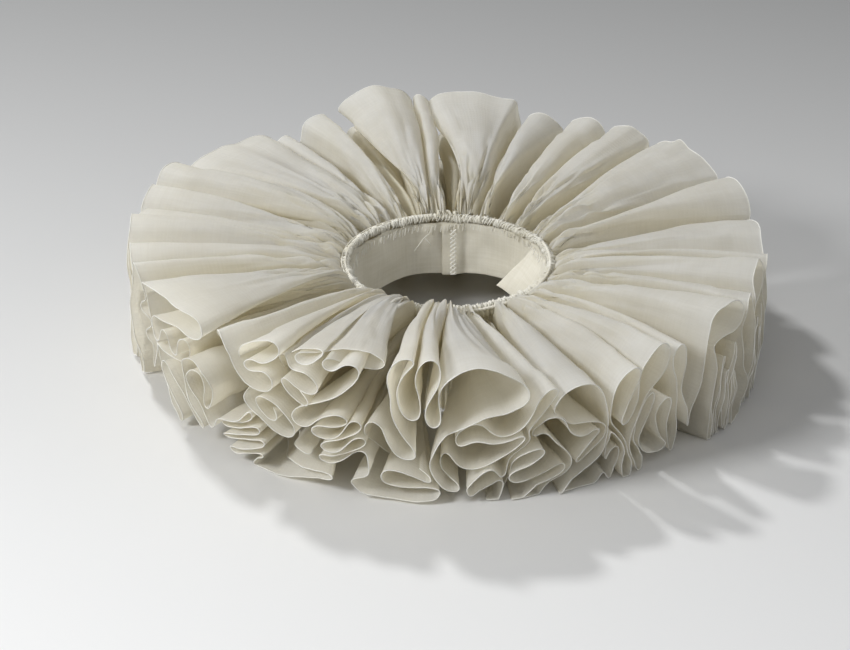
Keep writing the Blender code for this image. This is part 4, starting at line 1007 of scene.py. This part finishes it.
# degrees round the neck, share of the band's height from its top, and, below nought, thicknesses inside it
LOOSE_LINE = ((190, 0.02, -0.6), (191.5, 0.13, -1.8), (195, 0.23, -1.6), (199, 0.36, -2.4), (202, 0.5, -1.2))
BRANCH_LINE = (LOOSE_LINE[2], (192, 0.33, -2.6), (190.5, 0.40, -1.6))
made = []
for cross in range(CROSSES):
    top = FIRST_CROSS + PITCH * cross
    for side in (-1, 1):
        line = ((-side, 0.0), (0, 0.55), (side, 1.1))
        spots = [on_band(LAP_STITCH + wide * HALF_WIDE, min(top + low * PITCH, LAST_CROSS), CROSS_FACE)
                 for wide, low in line]
        made.append(tube("stitch", spots, 1.8 * THREAD, sewing, 5))
lap_seam = joined("herringbone_stitches", made, sewing)
hanging = [through([on_band(math.radians(angle), down, face) for angle, down, face in line], 6)
           for line in (LOOSE_LINE, BRANCH_LINE)]
loose = joined("loose_thread", [tube("strand", line, THREAD, sewing, 5) for line in hanging], sewing)
print("loose thread, mm:", round(float(walked(hanging[0])[-1]) / MM))

# %% [markdown]
# ## Cords on the ridge
# Two strands are couched along the ridge at the left, side by side. On the right and the front they are
# twisted round each other, and where the ends meet at the back they are knotted into a small heap of loops.

# %% Couched and twisted cords
cord_cloth = linen("cord_linen", light=(0.85, 0.82, 0.73), dark=(0.68, 0.64, 0.52), thin=(0.8, 0.75, 0.6),
                   see_through=0.0, thread=0.35 * MM, bump=0.5)
STRAND, TWIST_LENGTH = 0.72 * MM, 5.0 * MM
# degrees round the neck, radius and height in mm
TWIST_LINE = ((112, 65.4, 67.4), (96, 65.0, 67.4), (80, 65.6, 67.3), (64, 66.8, 67.2), (47, 68.6, 66.8),
              (30, 69.4, 66.3), (12, 70.4, 65.8), (-8, 70.0, 65.0))
LEFT_LINES = (((299, 67.6, 66.8), (280, 67.4, 67.2), (262, 67.2, 67.3), (244, 67.8, 67.0), (226, 67.6, 67.0),
               (205, 67.0, 67.0), (188, 66.6, 67.2)),
              ((303, 65.0, 67.0), (282, 65.2, 67.4), (263, 64.9, 67.4), (245, 65.6, 67.2), (228, 65.2, 67.2),
               (207, 65.0, 67.1), (189, 65.2, 67.3)))


def neck_line(rows, parts):
    """A smooth line round the neck."""
    line = np.array([(math.radians(angle), radius * MM, z * MM) for angle, radius, z in rows])
    line = through(line, parts)
    return round_neck(line[:, 1], line[:, 0], line[:, 2])


spine = neck_line(TWIST_LINE, 26)
along = walked(spine)
outwards = spine - np.array([NECK_X, NECK_Y, 0.0])
outwards[:, 2] = 0
outwards /= np.linalg.norm(outwards, axis=1, keepdims=True)
turned = 2 * math.pi * along / TWIST_LENGTH
made = []
for half_turn in (0.0, math.pi):
    swing = np.cos(turned + half_turn)[:, None] * outwards
    swing[:, 2] += np.sin(turned + half_turn)
    made.append(tube("strand", spine + 0.62 * STRAND * swing, STRAND, cord_cloth, 7))
twisted = joined("twisted_cord", made, cord_cloth)
couched = joined("couched_cords", [tube("strand", neck_line(rows, 16), 0.6 * STRAND, cord_cloth, 6)
                                   for rows in LEFT_LINES], cord_cloth)
print("twisted cord, mm:", round(float(along[-1]) / MM))

# %% The knot at the back
KNOT_LOOPS, KNOT_RADIUS, KNOT_HEIGHT, KNOT_STRAND = 7, 66.0 * MM, 67.0 * MM, 0.62 * MM
made = []
for loop_number in range(KNOT_LOOPS):
    at = math.radians(175.0 + 1.7 * loop_number + 1.5 * chance.uniform(-1, 1))
    way = np.linspace(-0.4, 2 * math.pi - 0.9, 12)
    wide, high = (1.9 + 0.8 * chance.uniform(-1, 1)) * MM, (2.0 + 0.9 * chance.uniform(-1, 1)) * MM
    tilt = chance.uniform(-0.8, 0.8)
    loop = round_neck(KNOT_RADIUS + wide * np.cos(way), at + 0.02 * np.sin(way + tilt),
                      KNOT_HEIGHT + high * np.sin(way))
    made.append(tube("loop", loop, KNOT_STRAND, cord_cloth, 6))
knot = joined("cord_knot", made, cord_cloth)
print("loops in the knot:", len(made))

# %% What the neck pieces ride on and stand for
for piece in (band, ridge, outer_heads, inner_pleats, whipping, felling, lap_seam, loose, twisted, couched,
              knot):
    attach(piece, "root")
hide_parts("neckband")
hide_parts("gathering_edge")

# %% [markdown]
# ## Floor, light and camera
# White linen shows its folds only in soft light that comes from one side. Two windows stand at the left,
# one of them behind. A weak sky fills from the front, the far wall gives back a little, and so does the
# pale floor.

# %% The floor
FLOOR_SIZE, FLOOR_DROP = 6.0, 0.4 * MM
# painted light falloff: between these the floor is painted from near white in front down to dark grey behind
FLOOR_NEAR, FLOOR_FAR = -0.75, 1.1  # metres, towards the viewer and away
floor_mat, nodes = fresh_material("pale_floor")
# painted light falloff: the floor's colour darkens towards the back, for light that dies away there
place = put(nodes, "ShaderNodeTexCoord", (-900, 0))
split = put(nodes, "ShaderNodeSeparateXYZ", (-720, 0), Vector=place.outputs["Object"])
depth = put(nodes, "ShaderNodeMapRange", (-540, 0), interpolation_type="SMOOTHSTEP", Value=split.outputs["Y"],
            **{"From Min": FLOOR_NEAR, "From Max": FLOOR_FAR})
tone = put(nodes, "ShaderNodeValToRGB", (-300, 0), Fac=depth.outputs["Result"])
tone.color_ramp.elements[0].color = (0.93, 0.925, 0.915, 1.0)
tone.color_ramp.elements[1].color = (0.25, 0.249, 0.246, 1.0)
paint = put(nodes, "ShaderNodeBsdfPrincipled", (100, 0), Roughness=0.6,
            **{"Base Color": tone.outputs["Color"]})
put(nodes, "ShaderNodeOutputMaterial", (400, 0), Surface=paint.outputs["BSDF"])
mesh = bpy.data.meshes.new("floor")
half = 0.5 * FLOOR_SIZE
mesh.from_pydata([(-half, -half, 0), (half, -half, 0), (half, half, 0), (-half, half, 0)], [], [(0, 1, 2, 3)])
mesh.materials.append(floor_mat)
floor = placed("floor", mesh)
floor.location.z = -FLOOR_DROP
print("floor, m:", FLOOR_SIZE)

# %% Lamps
DAYLIGHT, WALL_LIGHT = (0.98, 0.99, 1.0), (0.99, 0.99, 1.0)
LIT = Vector((0, 0, 0.05))
LAMPS = (
    # name, place, width in metres, power, colour
    ("back_window", (-0.88, 1.25, 1.8), 0.25, 24.5, DAYLIGHT),
    ("side_window", (-1.6, -0.9, 1.4), 0.7, 31.0, DAYLIGHT),
    ("front_sky", (0.1, -1.3, 1.8), 1.6, 4.5, DAYLIGHT),
    ("far_wall", (1.7, -0.5, 0.9), 1.4, 3.5, WALL_LIGHT),
)
for name, spot, size, power, colour in LAMPS:
    data = bpy.data.lights.new(name, "AREA")
    data.shape = "DISK"
    data.size = size
    data.energy = power
    data.color = colour
    lamp = placed(name, data)
    lamp.location = spot
    lamp.rotation_euler = (LIT - Vector(spot)).to_track_quat("-Z", "Y").to_euler()
world = bpy.data.worlds.new("studio")
world.use_nodes = True
sky = world.node_tree.nodes["Background"]
sky.inputs["Color"].default_value = (0.95, 0.975, 1.0, 1.0)
sky.inputs["Strength"].default_value = 0.19
bpy.context.scene.world = world
bpy.context.scene.view_settings.view_transform = "Standard"
print("lamps:", len(LAMPS))

# %% The camera
CAMERA_AWAY, CAMERA_UP, AIM_HEIGHT = 2.2, math.radians(27.0), 0.045
LENS, SHIFT_X, SHIFT_Y = 146.3, -0.0247, -0.0405
data = bpy.data.cameras.new("camera")
data.lens = LENS
data.sensor_width = 36.0
data.shift_x, data.shift_y = SHIFT_X, SHIFT_Y
camera = placed("camera", data)
camera.location = (0.0, -CAMERA_AWAY * math.cos(CAMERA_UP), AIM_HEIGHT + CAMERA_AWAY * math.sin(CAMERA_UP))
camera.rotation_euler = (math.pi / 2 - CAMERA_UP, 0.0, 0.0)
bpy.context.scene.camera = camera
print("camera, m:", [round(side, 2) for side in camera.location])
